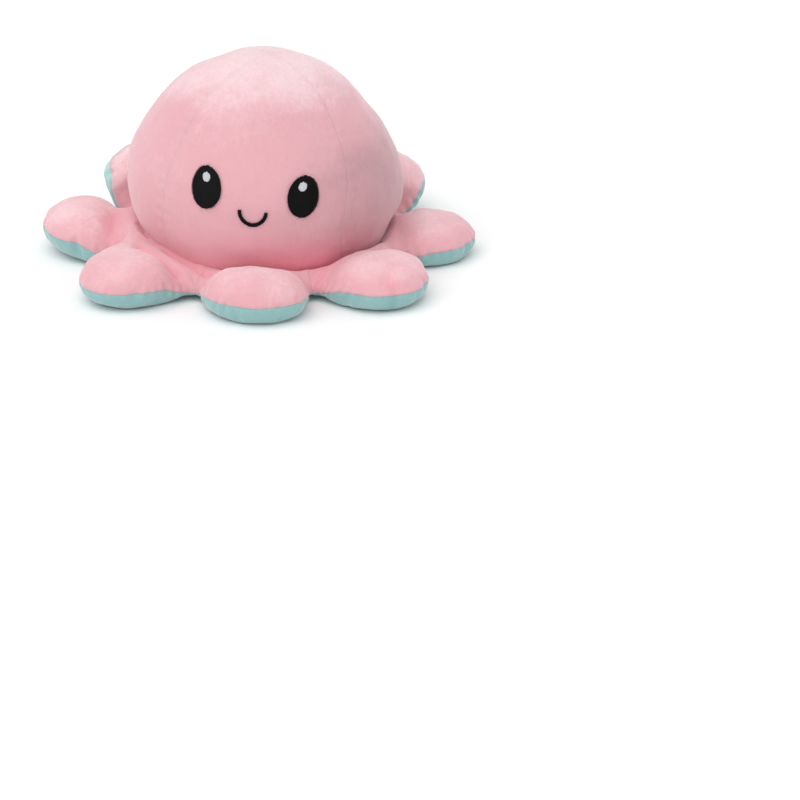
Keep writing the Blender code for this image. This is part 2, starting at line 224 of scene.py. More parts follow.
CURL_RISE = Ramp(FOLD_RADIUS + 0.006, 0.016)
CURL_RADIUS = FOLD_RADIUS + 0.012
CURL_HEIGHT = 0.015
BLEND_START = FOLD_RADIUS - 0.003

# Edge seam of a tentacle: gathers round the free lobe, out from its middle, and a narrow pinch
LOBE_MIDDLE = 0.070
LOBE_MIDDLE_SIZE = 0.001
GATHER_CENTRE = 0.066
GATHER_RADIUS = 0.030
FREE_EDGE = Ramp(NOTCH_RADIUS - 0.002, 0.006)
EDGE_GATHERS = Gathers(5, 0.016, 1, 0.35, 1.2, 0.013)
EDGE_GATHER_SPREAD = 0.0045
EDGE_PINCH_SPREAD = 0.0006
EDGE_PATCH_STEP = 2
TENTACLE_SEED_STEP = 3.0
TENTACLE_FILLING = Filling(0.024, 0.008, 0.4)
TENTACLE_LUMP_SEEDS = (11.0, 4.0)

# Where a tentacle's top takes on lumps, ridges and folds, and where these push it straight up
LUMPY_LEVEL = Ramp(0.005, 0.008)
LUMPY_RADIUS = Ramp(ROOT_RADIUS, 0.006)
LUMPY_OVER_SEAM = Ramp(0.0, 0.004)
OUTWARD_RADIUS = Ramp(0.068, 0.008)
NECK_FOLD = Ramp(0.0570, 0.0070)
NECK_FOLD_HEIGHT = 0.0098

# Ring round the mouth of the pocket, and collar in the crease under the head
RING_HEIGHT = 0.0019
COLLAR_RADIUS = 0.0475
COLLAR_LOW = 0.0024
RING_SEGMENTS = 208
RING_SIDES = 36
ACROSS_POWER = 0.4
UP_POWER = 0.6

# Cloth: how the skins are held while the filling presses them out
CLOTH_SEGMENTS = 96
CLOTH_QUALITY = 6
CLOTH_MASS = 0.1
CLOTH_BENDING = 0.1
LEAST_HELD = 0.01
LEAST_MOVE = 0.000001
HELD_SEAM_WIDTH = 0.004
HELD_NECK = Ramp(NECK_HEIGHT + 0.002, 0.008)
HELD_SKIRT = Ramp(NOTCH_RADIUS + 0.001, 0.012)
HELD_SOLE_HEIGHT = 0.0012
NECK_CAP_SHARE = 0.02
NEIGHBOURS = 9
NEIGHBOUR_SPREAD = 1.1

# Painted light and shade on the plush: painted shade towards the neck and in folds, painted light on the
# crown, painted shade on the right
NECK_LEVEL = Ramp(0.0105, 0.030)
NECK_SHADE_POWER = 1.5
HEAD_SHADE = 0.18
HEAD_SHADE_RIGHT = Bump(0.020, 0.036, 0.64)
CROWN_PAINTED_LIGHT = Ramp(0.068, 0.028, 0.85)
PAINTED_SHADE_FADE_UP = Ramp(0.053, 0.030)
RIGHT_PAINTED_SHADE = Ramp(-0.025, 0.070, 0.48)
FAR_RIGHT_PAINTED_SHADE = Ramp(0.022, 0.036, 0.38)
PAINTED_SHADE_FADE_BACK = Ramp(0.004, 0.040, 0.70)
# Painted shade in the crease round the neck and along the skirt's folds, and painted light on the lobes' tops
CREASE_RADIUS = Ramp(0.0535, 0.011)
CREASE_SHADE = 0.22
CREASE_SHADE_RIGHT = Bump(0.025, 0.030, 0.36)
FOLD_SHADE = 0.25
LOBE_PAINTED_LIGHT_LEVEL = Ramp(0.010, 0.012)
LOBE_PAINTED_LIGHT_RADIUS = Ramp(0.062, 0.012)
# Suffixes of each plush's colours: plain, paler for blotches and painted light, painted shade, painted shade
# in folds with the fine grain
PLUSH_TONES = ("", "_light", "_turned", "_deep")
THREAD_ROUGHNESS = {"black": 0.42, "white": 0.50}

# Embroidery: rows of satin stitch over low domes; each layer is its base and its height over the skin
STITCH_SEGMENTS = 8
STITCH_RINGS = 12
STITCH_SPACING = 4
STITCH_POWER = 0.18
STITCH_POLE = 0.999
LEAST_RING = 0.001
PATCH_SEGMENTS = 48
PATCH_RINGS = 16
ROW_UNEVENNESS = 0.6
ROW_OVERLAP = 1.25
ARC_STEP = 0.9
ARC_OVERLAP = 1.3
ARC_LENGTHS = (0.92, 1.12)
ARC_WAVER = 0.12
MOUTH_LINE = 0.0016
GLINT_SIZE = 0.0036
GLINT_DOME_SIZE = 0.0032
SIDES = (("left", -1), ("right", 1))
EYE_LAYERS = ((0.0001, 0.0008), (0.0006, 0.0005))
GLINT_LAYERS = ((0.0008, 0.0004), (0.0011, 0.00035))
GLINT_RISE = 0.0045
RIGHT_GLINT_SHIFT = -0.0009
GLINT_SEED = 5
SMILE_RISE = 0.0012
SMILE_LAYER = (0.0001, 0.0009)
SMILE_SEED = 11
SCOWL_WIDTH = 0.0135
SCOWL_HEIGHT = 0.0115
SCOWL_OFFSET = 0.0135
SCOWL_RISE = 0.006
SCOWL_DEPTH_SHARE = 0.75
SCOWL_TOP_SHARE = 0.45
BROW_SHARE = 0.25
BROW_SLOPE = math.tan(math.radians(10))
SCOWL_LAYERS = ((0.0003, 0.0007), (0.0007, 0.0004))
SCOWL_SEED = 20
SCOWL_GLINT_LAYERS = ((0.0009, 0.0004), (0.0011, 0.0003))
SCOWL_GLINT_SHIFT = 0.0019
SCOWL_GLINT_SEED = 25
FROWN_RISE = -0.0105
FROWN_RADIUS = 0.0048
FROWN_LAYER = (0.0003, 0.0008)
FROWN_SEED = 31

# Studio
FLOOR_SIZE = 8
KEY_PLACE = (-0.36, -0.60, 1.15)
CAMERA_PLACE = (0.0689, -1.3602, 0.5327)
CAMERA_ANGLES = (math.radians(65.875), 0, math.radians(0.137))
SENSOR_WIDTH = 36


class Lobe(NamedTuple):
    """How one tentacle differs: its sizes, how far its tip sways to its left and curls up, and its painted
    light.
    """

    reach: float
    half_width: float
    height: float
    seam: float
    sway: float
    curl: float
    nap: float


LOBES = {
    "front_tentacle": Lobe(0.0948, 0.0240, 0.0212, 0.0098, 0.0036, 0.0, 0.48),
    "front_right_tentacle": Lobe(0.1036, 0.0244, 0.0190, 0.0094, -0.0012, 0.0, 0.56),
    "right_tentacle": Lobe(0.1008, 0.0250, 0.0166, 0.0088, -0.0022, 0.0, 0.85),
    "back_right_tentacle": Lobe(0.0930, 0.0248, 0.0222, 0.0076, -0.0030, 0.60, 0.60),
    "back_tentacle": Lobe(0.0985, 0.0250, 0.0240, 0.0095, 0.0, 0.0, 0.50),
    "back_left_tentacle": Lobe(0.0922, 0.0250, 0.0220, 0.0165, 0.0055, 0.76, 1.0),
    "left_tentacle": Lobe(0.1005, 0.0246, 0.0208, 0.0088, -0.0030, 0.12, 0.52),
    "front_left_tentacle": Lobe(0.1029, 0.0230, 0.0212, 0.0096, 0.0002, 0.0, 0.38),
}


class Line(NamedTuple):
    """A soft ridge or fold along a line over the skirt: where it runs, how wide it is and how high."""

    start: tuple
    end: tuple
    width: float
    height: float


# Ridges fill the skirt up to their height over the floor; folds sink it by theirs
RIDGES = (
    Line((-0.0585, -0.0010), (-0.0560, -0.0230), 0.0088, 0.0216),
    Line((-0.0560, -0.0230), (-0.0565, -0.0440), 0.0086, 0.0204),
    Line((0.0560, -0.0320), (0.0600, -0.0480), 0.0095, 0.0156),
)
FOLD_LINES = (
    Line((-0.0664, -0.0050), (-0.0640, -0.0220), 0.0040, 0.0016),
    Line((-0.0545, -0.0180), (-0.0500, -0.0300), 0.0018, 0.0020),
    Line((-0.0526, -0.0447), (-0.0353, -0.0604), 0.0025, 0.0026),
    Line((-0.0400, -0.0420), (-0.0201, -0.0592), 0.0025, 0.0024),
    Line((0.0560, -0.0170), (0.0440, -0.0390), 0.0024, 0.0012),
    Line((0.0380, -0.0440), (0.0270, -0.0640), 0.0034, 0.0012),
    Line((0.0600, -0.0740), (0.0660, -0.0830), 0.0026, 0.0011),
)


class HeadSettings(bpy.types.PropertyGroup):
    lean: FloatProperty(
        name="Lean", description="How far the head tips right", default=math.radians(5), subtype="ANGLE"
    )
    seam_dip: FloatProperty(
        name="Seam dip", description="Depth of the soft hollow along a seam", default=0.0009, unit="LENGTH"
    )
    pucker: FloatProperty(
        name="Pucker", description="Height of the small gathers beside a seam", default=0.00022, unit="LENGTH"
    )
    lump: FloatProperty(
        name="Lumps", description="Height of the soft lumps of the filling", default=0.0008, unit="LENGTH"
    )


class TentacleSettings(bpy.types.PropertyGroup):
    pucker: FloatProperty(
        name="Pucker", description="Height of the gathers along the edge seam", default=0.00045, unit="LENGTH"
    )
    pucker_length: FloatProperty(
        name="Pucker length", description="From one gather to the next", default=0.0052, unit="LENGTH"
    )
    lump: FloatProperty(
        name="Lumps", description="Height of the soft lumps of the filling", default=0.0009, unit="LENGTH"
    )
    seam_pinch: FloatProperty(
        name="Seam pinch", description="How far the edge seam is drawn in", default=0.00025, unit="LENGTH"
    )


class ClothSettings(bpy.types.PropertyGroup):
    pressure: FloatProperty(
        name="Pressure", description="How hard the filling presses the cloth outwards", default=90
    )
    frames: IntProperty(name="Frames", description="How long the cloth is left to settle", default=20)
    pad_spacing: FloatProperty(
        name="Pad spacing", description="Distance between the points of a simulated tentacle",
        default=0.0019, unit="LENGTH",
    )
    pad_growth: FloatProperty(
        name="Pad growth", description="Share by which a tentacle's cloth is larger than its pad",
        default=0.035,
    )
    pad_furthest: FloatProperty(
        name="Furthest on a pad", description="How far a point of a tentacle may move",
        default=0.0025, unit="LENGTH",
    )
    head_spacing: FloatProperty(
        name="Head spacing", description="Distance between the points of the simulated head",
        default=0.0036, unit="LENGTH",
    )
    head_growth: FloatProperty(
        name="Head growth", description="Share by which the head's cloth is larger than its filling",
        default=0.010,
    )
    head_furthest: FloatProperty(
        name="Furthest on the head", description="How far a point of the head may move",
        default=0.0009, unit="LENGTH",
    )


class FaceSettings(bpy.types.PropertyGroup):
    eye_width: FloatProperty(
        name="Eye width", description="Width of an eye of the happy face", default=0.0145, unit="LENGTH"
    )
    eye_height: FloatProperty(
        name="Eye height", description="Height of an eye of the happy face", default=0.0179, unit="LENGTH"
    )
    eye_offset: FloatProperty(
        name="Eye offset", description="From the middle of the face to an eye", default=0.0219, unit="LENGTH"
    )
    eye_rise: FloatProperty(
        name="Eye rise", description="Height of the eyes over the widest level", default=0.0083, unit="LENGTH"
    )
    face_turn: FloatProperty(
        name="Face turn", description="How far the face sits off the middle", default=0.0021, unit="LENGTH"
    )
    smile_radius: FloatProperty(
        name="Smile radius", description="Radius of the smile's half circle", default=0.0058, unit="LENGTH"
    )
    thread_width: FloatProperty(
        name="Thread width", description="Width of one row of satin stitch", default=0.00042, unit="LENGTH"
    )


class ColourSettings(bpy.types.PropertyGroup):
    rose: FloatVectorProperty(
        name="Rose", description="Outer plush", default=(0.71, 0.39, 0.425), subtype="COLOR", size=3
    )
    # Painted light: the rose made paler where light falls, also used for random pale blotches
    rose_light: FloatVectorProperty(
        name="Rose, nap up", description="Outer plush where its pile catches light",
        default=(0.84, 0.63, 0.65), subtype="COLOR", size=3,
    )
    # Painted shade: the rose darkened where the surface turns from the light
    rose_turned: FloatVectorProperty(
        name="Rose, nap down", description="Outer plush where its pile turns from the light",
        default=(0.47, 0.29, 0.31), subtype="COLOR", size=3,
    )
    # Painted shade: the rose darkened in creases and folds, also used for the pile's fine grain
    rose_deep: FloatVectorProperty(
        name="Rose, in folds", description="Outer plush deep in a fold",
        default=(0.88, 0.20, 0.30), subtype="COLOR", size=3,
    )
    aqua: FloatVectorProperty(
        name="Aqua", description="Inner plush", default=(0.285, 0.485, 0.485), subtype="COLOR", size=3
    )
    # Painted light: the aqua made paler where light falls, also used for random pale blotches
    aqua_light: FloatVectorProperty(
        name="Aqua, nap up", description="Inner plush where its pile catches light",
        default=(0.42, 0.66, 0.64), subtype="COLOR", size=3,
    )
    # Painted shade: the aqua darkened where the surface turns from the light
    aqua_turned: FloatVectorProperty(
        name="Aqua, nap down", description="Inner plush where its pile turns from the light",
        default=(0.20, 0.40, 0.40), subtype="COLOR", size=3,
    )
    # Painted shade: the aqua darkened in creases and folds, also used for the pile's fine grain
    aqua_deep: FloatVectorProperty(
        name="Aqua, in folds", description="Inner plush deep in a fold",
        default=(0.10, 0.26, 0.27), subtype="COLOR", size=3,
    )
    black: FloatVectorProperty(
        name="Black thread", description="Eyes and mouths",
        default=(0.0022, 0.0020, 0.0026), subtype="COLOR", size=3,
    )
    white: FloatVectorProperty(
        name="White thread", description="Light spots of the eyes",
        default=(0.50, 0.50, 0.52), subtype="COLOR", size=3,
    )


class StudioSettings(bpy.types.PropertyGroup):
    key: FloatProperty(
        name="Key light", description="Strength of the soft light from the front left", default=1.44
    )
    key_angle: FloatProperty(
        name="Key softness", description="Width of the key light", default=math.radians(70), subtype="ANGLE"
    )
    sky: FloatProperty(name="Sky", description="Strength of the even light from all round", default=0.78)
    lens: FloatProperty(name="Lens", description="Focal length in millimetres", default=140.07)


def settings():
    return bpy.context.scene.octopus


def smooth(share):
    """0 below 0, 1 above 1 and an even S between them."""
    held = np.clip(share, 0, 1)
    return held * held * (3 - 2 * held)


def bell(distance, width):
    """1 at no distance, fading out over about twice the width."""
    return np.exp(-((distance / width) ** 2))


def quarter_round(share):
    """From 0 to 1 as a quarter of a circle goes: steep at first, then level."""
    return np.sqrt(1 - (1 - share) ** 2)


def wrapped(angle, turn=2 * math.pi):
    """The same angle, but from minus half a turn to half a turn."""
    return (angle + turn / 2) % turn - turn / 2


def polar(radius, angle, level):
    return np.stack((radius * np.cos(angle), radius * np.sin(angle), level), axis=-1)


def lumps(points, size, seed, octaves):
    """Smooth random values of about -1 to 1 that change over that size."""
    offset = Vector((seed, -seed, 2 * seed))
    values = [noise.fractal(Vector(point) / size + offset, 1.0, 2.0, octaves) for point in points]
    return np.array(values)


def deselect():
    if bpy.context.mode != "OBJECT":
        bpy.ops.object.mode_set(mode="OBJECT")
    bpy.ops.object.select_all(action="DESELECT")


def activate(obj):
    deselect()
    obj.select_set(True)
    bpy.context.view_layer.objects.active = obj


@contextlib.contextmanager
def editing(obj):
    """Edit mode with the whole mesh selected."""
    activate(obj)
    bpy.ops.object.mode_set(mode="EDIT")
    bpy.ops.mesh.select_all(action="SELECT")
    yield
    bpy.ops.object.mode_set(mode="OBJECT")


def named(name):
    """Names the primitive that was just added."""
    obj = bpy.context.object
    obj.name = obj.data.name = name
    return obj


def read_points(obj):
    points = np.empty(len(obj.data.vertices) * 3)
    obj.data.vertices.foreach_get("co", points)
    return points.reshape(-1, 3)


def read_normals(obj):
    normals = np.empty(len(obj.data.vertices) * 3)
    obj.data.vertex_normals.foreach_get("vector", normals)
    return normals.reshape(-1, 3)


def write_points(obj, points):
    obj.data.vertices.foreach_set("co", np.asarray(points, dtype=np.float64).ravel())
    obj.data.update()


def apply_modifier(obj, kind, **values):
    activate(obj)
    modifier = obj.modifiers.new(kind.title(), kind)
    for name, value in values.items():
        setattr(modifier, name, value)
    bpy.ops.object.modifier_apply(modifier=modifier.name)


def tidy_mesh(obj):
    """Merges doubles, turns faces outwards and shades them smooth up to a sharp edge."""
    with editing(obj):
        bpy.ops.mesh.remove_doubles(threshold=MERGE_DISTANCE)
        bpy.ops.mesh.normals_make_consistent(inside=False)
    bpy.ops.object.shade_smooth_by_angle(angle=SHARP_ANGLE)


def set_layer(obj, name, values, lowest):
    """Keeps a value from lowest to 1 at each point, for the material to read."""
    layer = obj.data.attributes.get(name) or obj.data.attributes.new(name, "FLOAT", "POINT")
    held = np.broadcast_to(np.clip(values, lowest, 1), len(obj.data.vertices))
    layer.data.foreach_set("value", held.astype(np.float32))


def set_painted_shade(obj, values):
    """How much painted shade each point gets, 0 to 1: the plush is darkened by it in creases and folds."""
    set_layer(obj, "fold_depth", values, 0)


def set_painted_lit_and_shaded(obj, values):
    """Painted light and shade at each point: 1 is painted light, -1 is painted shade."""
    set_layer(obj, "nap_tone", values, -1)


def add_sheet(name, columns, rows, shape):
    """A grid whose points shape(across, along) places; both run from 0 to 1."""
    deselect()
    bpy.ops.mesh.primitive_grid_add(x_subdivisions=columns, y_subdivisions=rows, size=2)
    obj = named(name)
    flat = read_points(obj)
    write_points(obj, shape((flat[:, 0] + 1) / 2, (flat[:, 1] + 1) / 2))
    return obj


def add_pad(name, segments, rings, shape):
    """A ball whose points shape(around, along) places: around is an angle, along runs from 0 to 1."""
    deselect()
    bpy.ops.mesh.primitive_uv_sphere_add(segments=segments, ring_count=rings, radius=1)
    obj = named(name)
    ball = read_points(obj)
    around = np.arctan2(ball[:, 1], ball[:, 0])
    along = np.arcsin(np.clip(ball[:, 2], -1, 1)) / math.pi + 0.5
    write_points(obj, shape(around, along))
    return obj


def swell(name, shape, held_at, spacing, growth, furthest):
    """Lets the filling press out a copy of a padded form as cloth; gives the copy's points and moves."""
    options = settings().cloth
    obj = add_pad(name, CLOTH_SEGMENTS, CLOTH_SEGMENTS, shape)
    apply_modifier(obj, "REMESH", mode="VOXEL", voxel_size=spacing)
    places = read_points(obj)
    held = held_at(places)
    group = obj.vertex_groups.new(name="held")
    for index in np.flatnonzero(held > LEAST_HELD):
        group.add([int(index)], float(held[index]), "REPLACE")
    activate(obj)
    modifier = obj.modifiers.new("Cloth", "CLOTH")
    modifier.collision_settings.use_collision = False
    cloth = modifier.settings
    cloth.quality = CLOTH_QUALITY
    cloth.mass = CLOTH_MASS
    cloth.bending_stiffness = CLOTH_BENDING
    cloth.use_pressure = True
    cloth.uniform_pressure_force = options.pressure
    cloth.effector_weights.gravity = 0
    cloth.vertex_group_mass = group.name
    cloth.shrink_min = -growth
    for number in range(1, options.frames + 1):
        bpy.context.scene.frame_set(number)
    bpy.ops.object.modifier_apply(modifier=modifier.name)
    moves = read_points(obj) - places
    bpy.context.scene.frame_set(1)
    bpy.data.objects.remove(obj)
    far = np.maximum(np.linalg.norm(moves, axis=1, keepdims=True), LEAST_MOVE)
    return places, moves * np.minimum(1, furthest / far), spacing


def carried(points, swollen):
    """The moves that a simulated copy makes beside each point."""
    if swollen is None:
        return np.zeros_like(points)
    places, moves, spacing = swollen
    tree = kdtree.KDTree(len(places))
    for index, place in enumerate(places):
        tree.insert(place, index)
    tree.balance()
    near = [tree.find_n(point, NEIGHBOURS) for point in points]
    numbers = [[number for place, number, distance in row] for row in near]
    distances = np.array([[distance for place, number, distance in row] for row in near])
    weights = bell(distances, NEIGHBOUR_SPREAD * spacing)
    weights /= weights.sum(axis=1, keepdims=True)
    return np.sum(moves[numbers] * weights[:, :, None], axis=1)


def dress(obj, body, material, nodes):
    """Gives a finished piece its material and slot, and lets it ride on its body in place of its nodes."""
    obj.data.materials.clear()
    obj.data.materials.append(material)
    if body:
        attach(obj, body)
    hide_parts(*nodes)


def cheek_share(angle):
    """1 at the front right, where the cheek hangs over the skirt, and 0 on the side opposite."""
    return smooth((1 + np.cos(angle - CHEEK_ANGLE)) / 2)


def head_share(latitude, angle=FRONT_ANGLE):
    """The head's radius as a share of its widest: a round cheek, sloping shoulders and a round crown."""
    cheek_power = 1 - CHEEK_FULLNESS * cheek_share(angle)
    power = np.where(latitude > 0, CROWN_POWER - LEFT_POWER * np.cos(angle), cheek_power)
    dip = SHOULDER_DIP + RIGHT_DIP * np.cos(angle)
    over_shoulder = latitude - SHOULDER_LATITUDE - RIGHT_LATITUDE * np.cos(angle)
    return np.clip(np.cos(latitude), 0, 1) ** power * (1 - dip * bell(over_shoulder, SHOULDER_SPREAD))


def seam_angle(number, latitude):
    """Where the seam right of a panel runs; the one beside the face drifts towards it at half height."""
    drift = SEAM_DRIFT.at(latitude) if number % len(PANEL_SIDES) == 0 else 0
    return FRONT_ANGLE + PANEL_ANGLE * (number + 0.5) - drift


def pocket_seam_angle(number, latitude):
    return FRONT_ANGLE + PANEL_ANGLE * (number + 0.5)


def lean(points):
    """Tips the head to the right above its neck seam, which stays level."""
    rise = points[:, 2] - NECK_HEIGHT
    angle = settings().head.lean * smooth(rise / LEAN_RISE)
    across = points[:, 0] * np.cos(angle) + rise * np.sin(angle)
    level = NECK_HEIGHT - points[:, 0] * np.sin(angle) + rise * np.cos(angle)
    return np.stack((across, points[:, 1], level), axis=-1)


def head_surface(angle, latitude, out=0.0):
    """The outer skin of the head, or a layer that lies out of it."""
    height = np.where(latitude > 0, CROWN_HEIGHT, CHEEK_DEPTH)
    share = head_share(latitude, angle)
    hollow = 0
    for number in range(len(PANEL_SIDES)):
        from_seam = wrapped(angle - seam_angle(number, latitude))
        hollow = np.maximum(hollow, bell(from_seam * HEAD_RADIUS * share, SEAM_HOLLOW_WIDTH))
    bulge = bell(wrapped(angle - BULGE_ANGLE), BULGE_WIDTH) * BULGE.at(latitude)
    radius = (HEAD_RADIUS + out - settings().head.seam_dip * hollow) * share + bulge
    droop = CHEEK_DROOP * cheek_share(angle) * smooth(latitude / NECK_LATITUDE)
    level = WIDEST_HEIGHT + (height + out) * np.sin(latitude) - droop
    return lean(polar(radius, angle, level))


def pocket_surface(angle, latitude, out=0.0):
    """The lining of the pocket, or a layer that lies out of it, into the pocket."""
    height = np.where(latitude > 0, POCKET_DOME_HEIGHT - out, POCKET_DEPTH)
    radius = (POCKET_RADIUS - out) * np.cos(latitude)
    return polar(radius, angle, POCKET_WIDEST_HEIGHT + height * np.sin(latitude))


@functools.cache
def head_swell():
    """How the filling presses out the head's cloth between its seams, its neck and its crown."""

    def ball(around, along):
        share = np.clip((along - NECK_CAP_SHARE) / (1 - NECK_CAP_SHARE), 0, 1)
        latitude = NECK_LATITUDE + (math.pi / 2 - NECK_LATITUDE) * share
        in_cap = smooth(along / NECK_CAP_SHARE)
        return head_surface(around, latitude) * np.stack((in_cap, in_cap, np.ones_like(along)), axis=-1)

    def held_at(points):
        angle = np.arctan2(points[:, 1], points[:, 0])
        radius = np.hypot(points[:, 0], points[:, 1])
        from_seam = wrapped(angle - FRONT_ANGLE - PANEL_ANGLE / 2, PANEL_ANGLE)
        return np.maximum(bell(from_seam * radius, HELD_SEAM_WIDTH), 1 - HELD_NECK.at(points[:, 2]))

    options = settings().cloth
    return swell(
        "cloth_head", ball, held_at, options.head_spacing, options.head_growth, options.head_furthest
    )


def softness(points, outwards, lump, seed):
    """The soft lumps of the filling under the cloth."""
    return outwards * (lump * HEAD_FILLING.at(points, seed, seed + FINE_SEED_STEP))[:, None]


def outward_of(surface, angle, latitude, points):
    """The direction straight out of a surface at its points."""
    outwards = surface(angle, latitude, SKIN_THICKNESS) - points
    return outwards / np.linalg.norm(outwards, axis=-1, keepdims=True)


def soft_head(points, outwards):
    return softness(points, outwards, settings().head.lump, HEAD_DOME.seed) + carried(points, head_swell())


def soft_pocket(points, outwards):
    return softness(points, outwards, settings().head.lump * POCKET_LUMP_SHARE, POCKET_DOME.seed)


class Dome(NamedTuple):
    """What the four gores of a dome share: surface, softness, seams, lowest latitude and mesh."""

    surface: Callable
    soft: Callable
    seams: Callable
    lowest: float
    columns: int
    rows: int
    inwards: bool
    seed: float


HEAD_DOME = Dome(head_surface, soft_head, seam_angle, NECK_LATITUDE, PANEL_COLUMNS, PANEL_ROWS, False, 2.0)
POCKET_DOME = Dome(
    pocket_surface, soft_pocket, pocket_seam_angle, POCKET_RIM_LATITUDE,
    LINING_COLUMNS, LINING_ROWS, True, 7.0,
)


def toward_edges(share):
    """Spreads even shares so that more of them lie near 0 and 1."""
    return EVEN_SHARE * share + (1 - EVEN_SHARE) * (1 - np.cos(math.pi * share)) / 2


def make_gore(name, dome, number):
    """One cut panel of a dome, from seam to seam and from its rim to the crown, with its edges turned in."""
    patch_step, wander_step = sorted(GORE_SEED_STEPS)

    def shape(across, along):
        latitude = dome.lowest + (math.pi / 2 - dome.lowest) * along
        share = toward_edges(across)
        left, right = dome.seams(number - 1, latitude), dome.seams(number, latitude)
        angle = left + (right - left) * share
        points = dome.surface(angle, latitude)
        outwards = outward_of(dome.surface, angle, latitude, points)
        to_seam = np.minimum(share, 1 - share) * (right - left) * HEAD_RADIUS * np.cos(latitude)
        turn_in = np.where(share < 0.5, SEAM_TURN_INS[number - 1], SEAM_TURN_INS[number])
        turn_in = turn_in * (LEAST_TURN_IN + TURN_IN_MIDWAY.at(latitude))
        turned_in = turn_in * np.clip(1 - to_seam / SEAM_ALLOWANCE, 0, 1) ** 2
        run = along * (math.pi / 2 - dome.lowest) * CROWN_HEIGHT
        seeds = (dome.seed + wander_step, dome.seed + patch_step)
        gathers = GORE_GATHERS.at(points, run, GORE_GATHER_LENGTH, *seeds) * settings().head.pucker
        gathers *= bell(to_seam, GORE_GATHER_WIDTH) * smooth(to_seam / SEAM_ALLOWANCE)
        near_crown = NEAR_CROWN.at(along)
        sewn = outwards * (gathers * (1 - near_crown) - turned_in)[:, None]
        return points + sewn + dome.soft(points, outwards) * (1 - CROWN_CALM * near_crown)[:, None]

    obj = add_sheet(name, dome.columns, dome.rows, shape)
    tidy_mesh(obj)
    face_away(obj, dome.inwards)
    return obj


def face_away(obj, inwards):
    """Turns an open sheet so that it faces away from the toy's axis, or towards it."""
    points = read_points(obj)
    centre = np.array((0, 0, points[:, 2].mean()))
    facing = np.sum((points - centre) * read_normals(obj), axis=1).mean()
    if (facing < 0) != inwards:
        with editing(obj):
            bpy.ops.mesh.flip_normals()


def thicken(obj):
    """Gives a shaped sheet the thickness of the cloth, inwards."""
    apply_modifier(obj, "SOLIDIFY", thickness=SKIN_THICKNESS, offset=-1)
    activate(obj)
    bpy.ops.object.shade_smooth_by_angle(angle=SHARP_ANGLE)


def tip_share(along_x, lobe):
    """0 up to the lobe's shoulder and 1 at its tip."""
    return np.clip((along_x - SHOULDER_RADIUS) / (lobe.reach - SHOULDER_RADIUS), 0, 1)


def half_width(along_x, lobe):
    """Half the width of a tentacle: its share of the skirt, a notch, then a lobe with a round tip."""
    skirt = along_x * math.tan(SECTOR / 2) - SIDE_GAP
    at_notch = NOTCH_RADIUS * math.tan(SECTOR / 2) - SIDE_GAP
    past = np.clip((along_x - NOTCH_RADIUS) / NOTCH_LENGTH, 0, 1)
    notch = LOBE_NECK + (at_notch - LOBE_NECK) * (1 - quarter_round(past))
    neck = notch + (lobe.half_width - LOBE_NECK) * LOBE_RISE.at(along_x)
    round_tip = np.sqrt(1 - tip_share(along_x, lobe) ** 2)
    return np.where(along_x < NOTCH_RADIUS, skirt, neck) * round_tip


def station(along, lobe):
    """Distance from the toy's axis: the root is left slowly, and the notch and the tip have more rings."""
    shares = (0, ROOT_SHARE, NOTCH_SHARE, NOTCH_END_SHARE, SHOULDER_SHARE, 1)
    notch_end = NOTCH_RADIUS + NOTCH_LENGTH
    steps = (ROOT_RADIUS, ROOT_RADIUS, NOTCH_RADIUS, notch_end, SHOULDER_RADIUS, SHOULDER_RADIUS)
    along_x = np.interp(along, shares, steps)
    in_notch = (along > NOTCH_SHARE) & (along < NOTCH_END_SHARE)
    past = (along - NOTCH_SHARE) / (NOTCH_END_SHARE - NOTCH_SHARE)
    along_x = np.where(in_notch, NOTCH_RADIUS + NOTCH_LENGTH * past**2, along_x)
    turn = np.clip((along - SHOULDER_SHARE) / (1 - SHOULDER_SHARE), 0, 1) * math.pi / 2
    return along_x + (lobe.reach - SHOULDER_RADIUS) * np.sin(turn)


def seam_height(along_x, lobe):
    """The edge seam lies low in the notches and rises along the lobe."""
    return SKIRT_SEAM_HEIGHT + (lobe.seam - SKIRT_SEAM_HEIGHT) * SEAM_RISE.at(along_x)


def rim_share(around, along_x, lobe):
    """0 along the middle of the tentacle and 1 on its outline."""
    tip = tip_share(along_x, lobe)
    return np.sqrt(np.clip(tip**2 + (1 - tip**2) * np.cos(around) ** 2, 0, 1))


def from_outline(rim, along_x, lobe):
    """How far a point lies inside the free outline, which the skirt meets only at its two notches."""
    width = half_width(np.minimum(along_x, SHOULDER_RADIUS), lobe)
    return np.hypot(width * (1 - rim), np.maximum(NOTCH_RADIUS - along_x, 0))


def top_height(around, along_x, lobe):
    """The height of the outer skin over the floor: the skirt's soft valleys, then a pillow."""
    rim = rim_share(around, along_x, lobe)
    neck = NECK_RISE.at(along_x)
    crown = FOLD_HEIGHT + (lobe.height - FOLD_HEIGHT) * CROWN_RISE.at(along_x) + neck
    valley = np.interp(along_x, VALLEY_PLACES, VALLEY_HEIGHTS) + neck
    side = valley + (SIDE_SHARE * crown - valley) * LOBE_RISE.at(along_x)
    pillow = PILLOW_RISE.at(along_x)
    profile = (1 + np.cos(math.pi * rim)) / 2 * (1 - pillow) + (1 - rim**PILLOW_POWER) * pillow
    seam = seam_height(along_x, lobe)
    inside = np.clip(from_outline(rim, along_x, lobe) / EDGE_ROUNDING, 0, 1)
    return seam + (side + (crown - side) * profile - seam) * quarter_round(inside)


def sole_height(around, along_x, lobe):
    """The height of the inner skin: flat on the floor, arched at the notches, round up to the edge seam."""
    rim = rim_share(around, along_x, lobe)
    seam = seam_height(along_x, lobe)
    arch = NOTCH_ARCH * bell(np.hypot(along_x - NOTCH_RADIUS, (1 - rim) * lobe.half_width), ARCH_SPREAD)
    inside = np.clip(from_outline(rim, along_x, lobe) / (seam * SOLE_ROUNDING_SHARE), 0, 1)
    return np.minimum(arch + (seam - arch) * (1 - quarter_round(inside)), seam - 2 * PARTING_GAP)


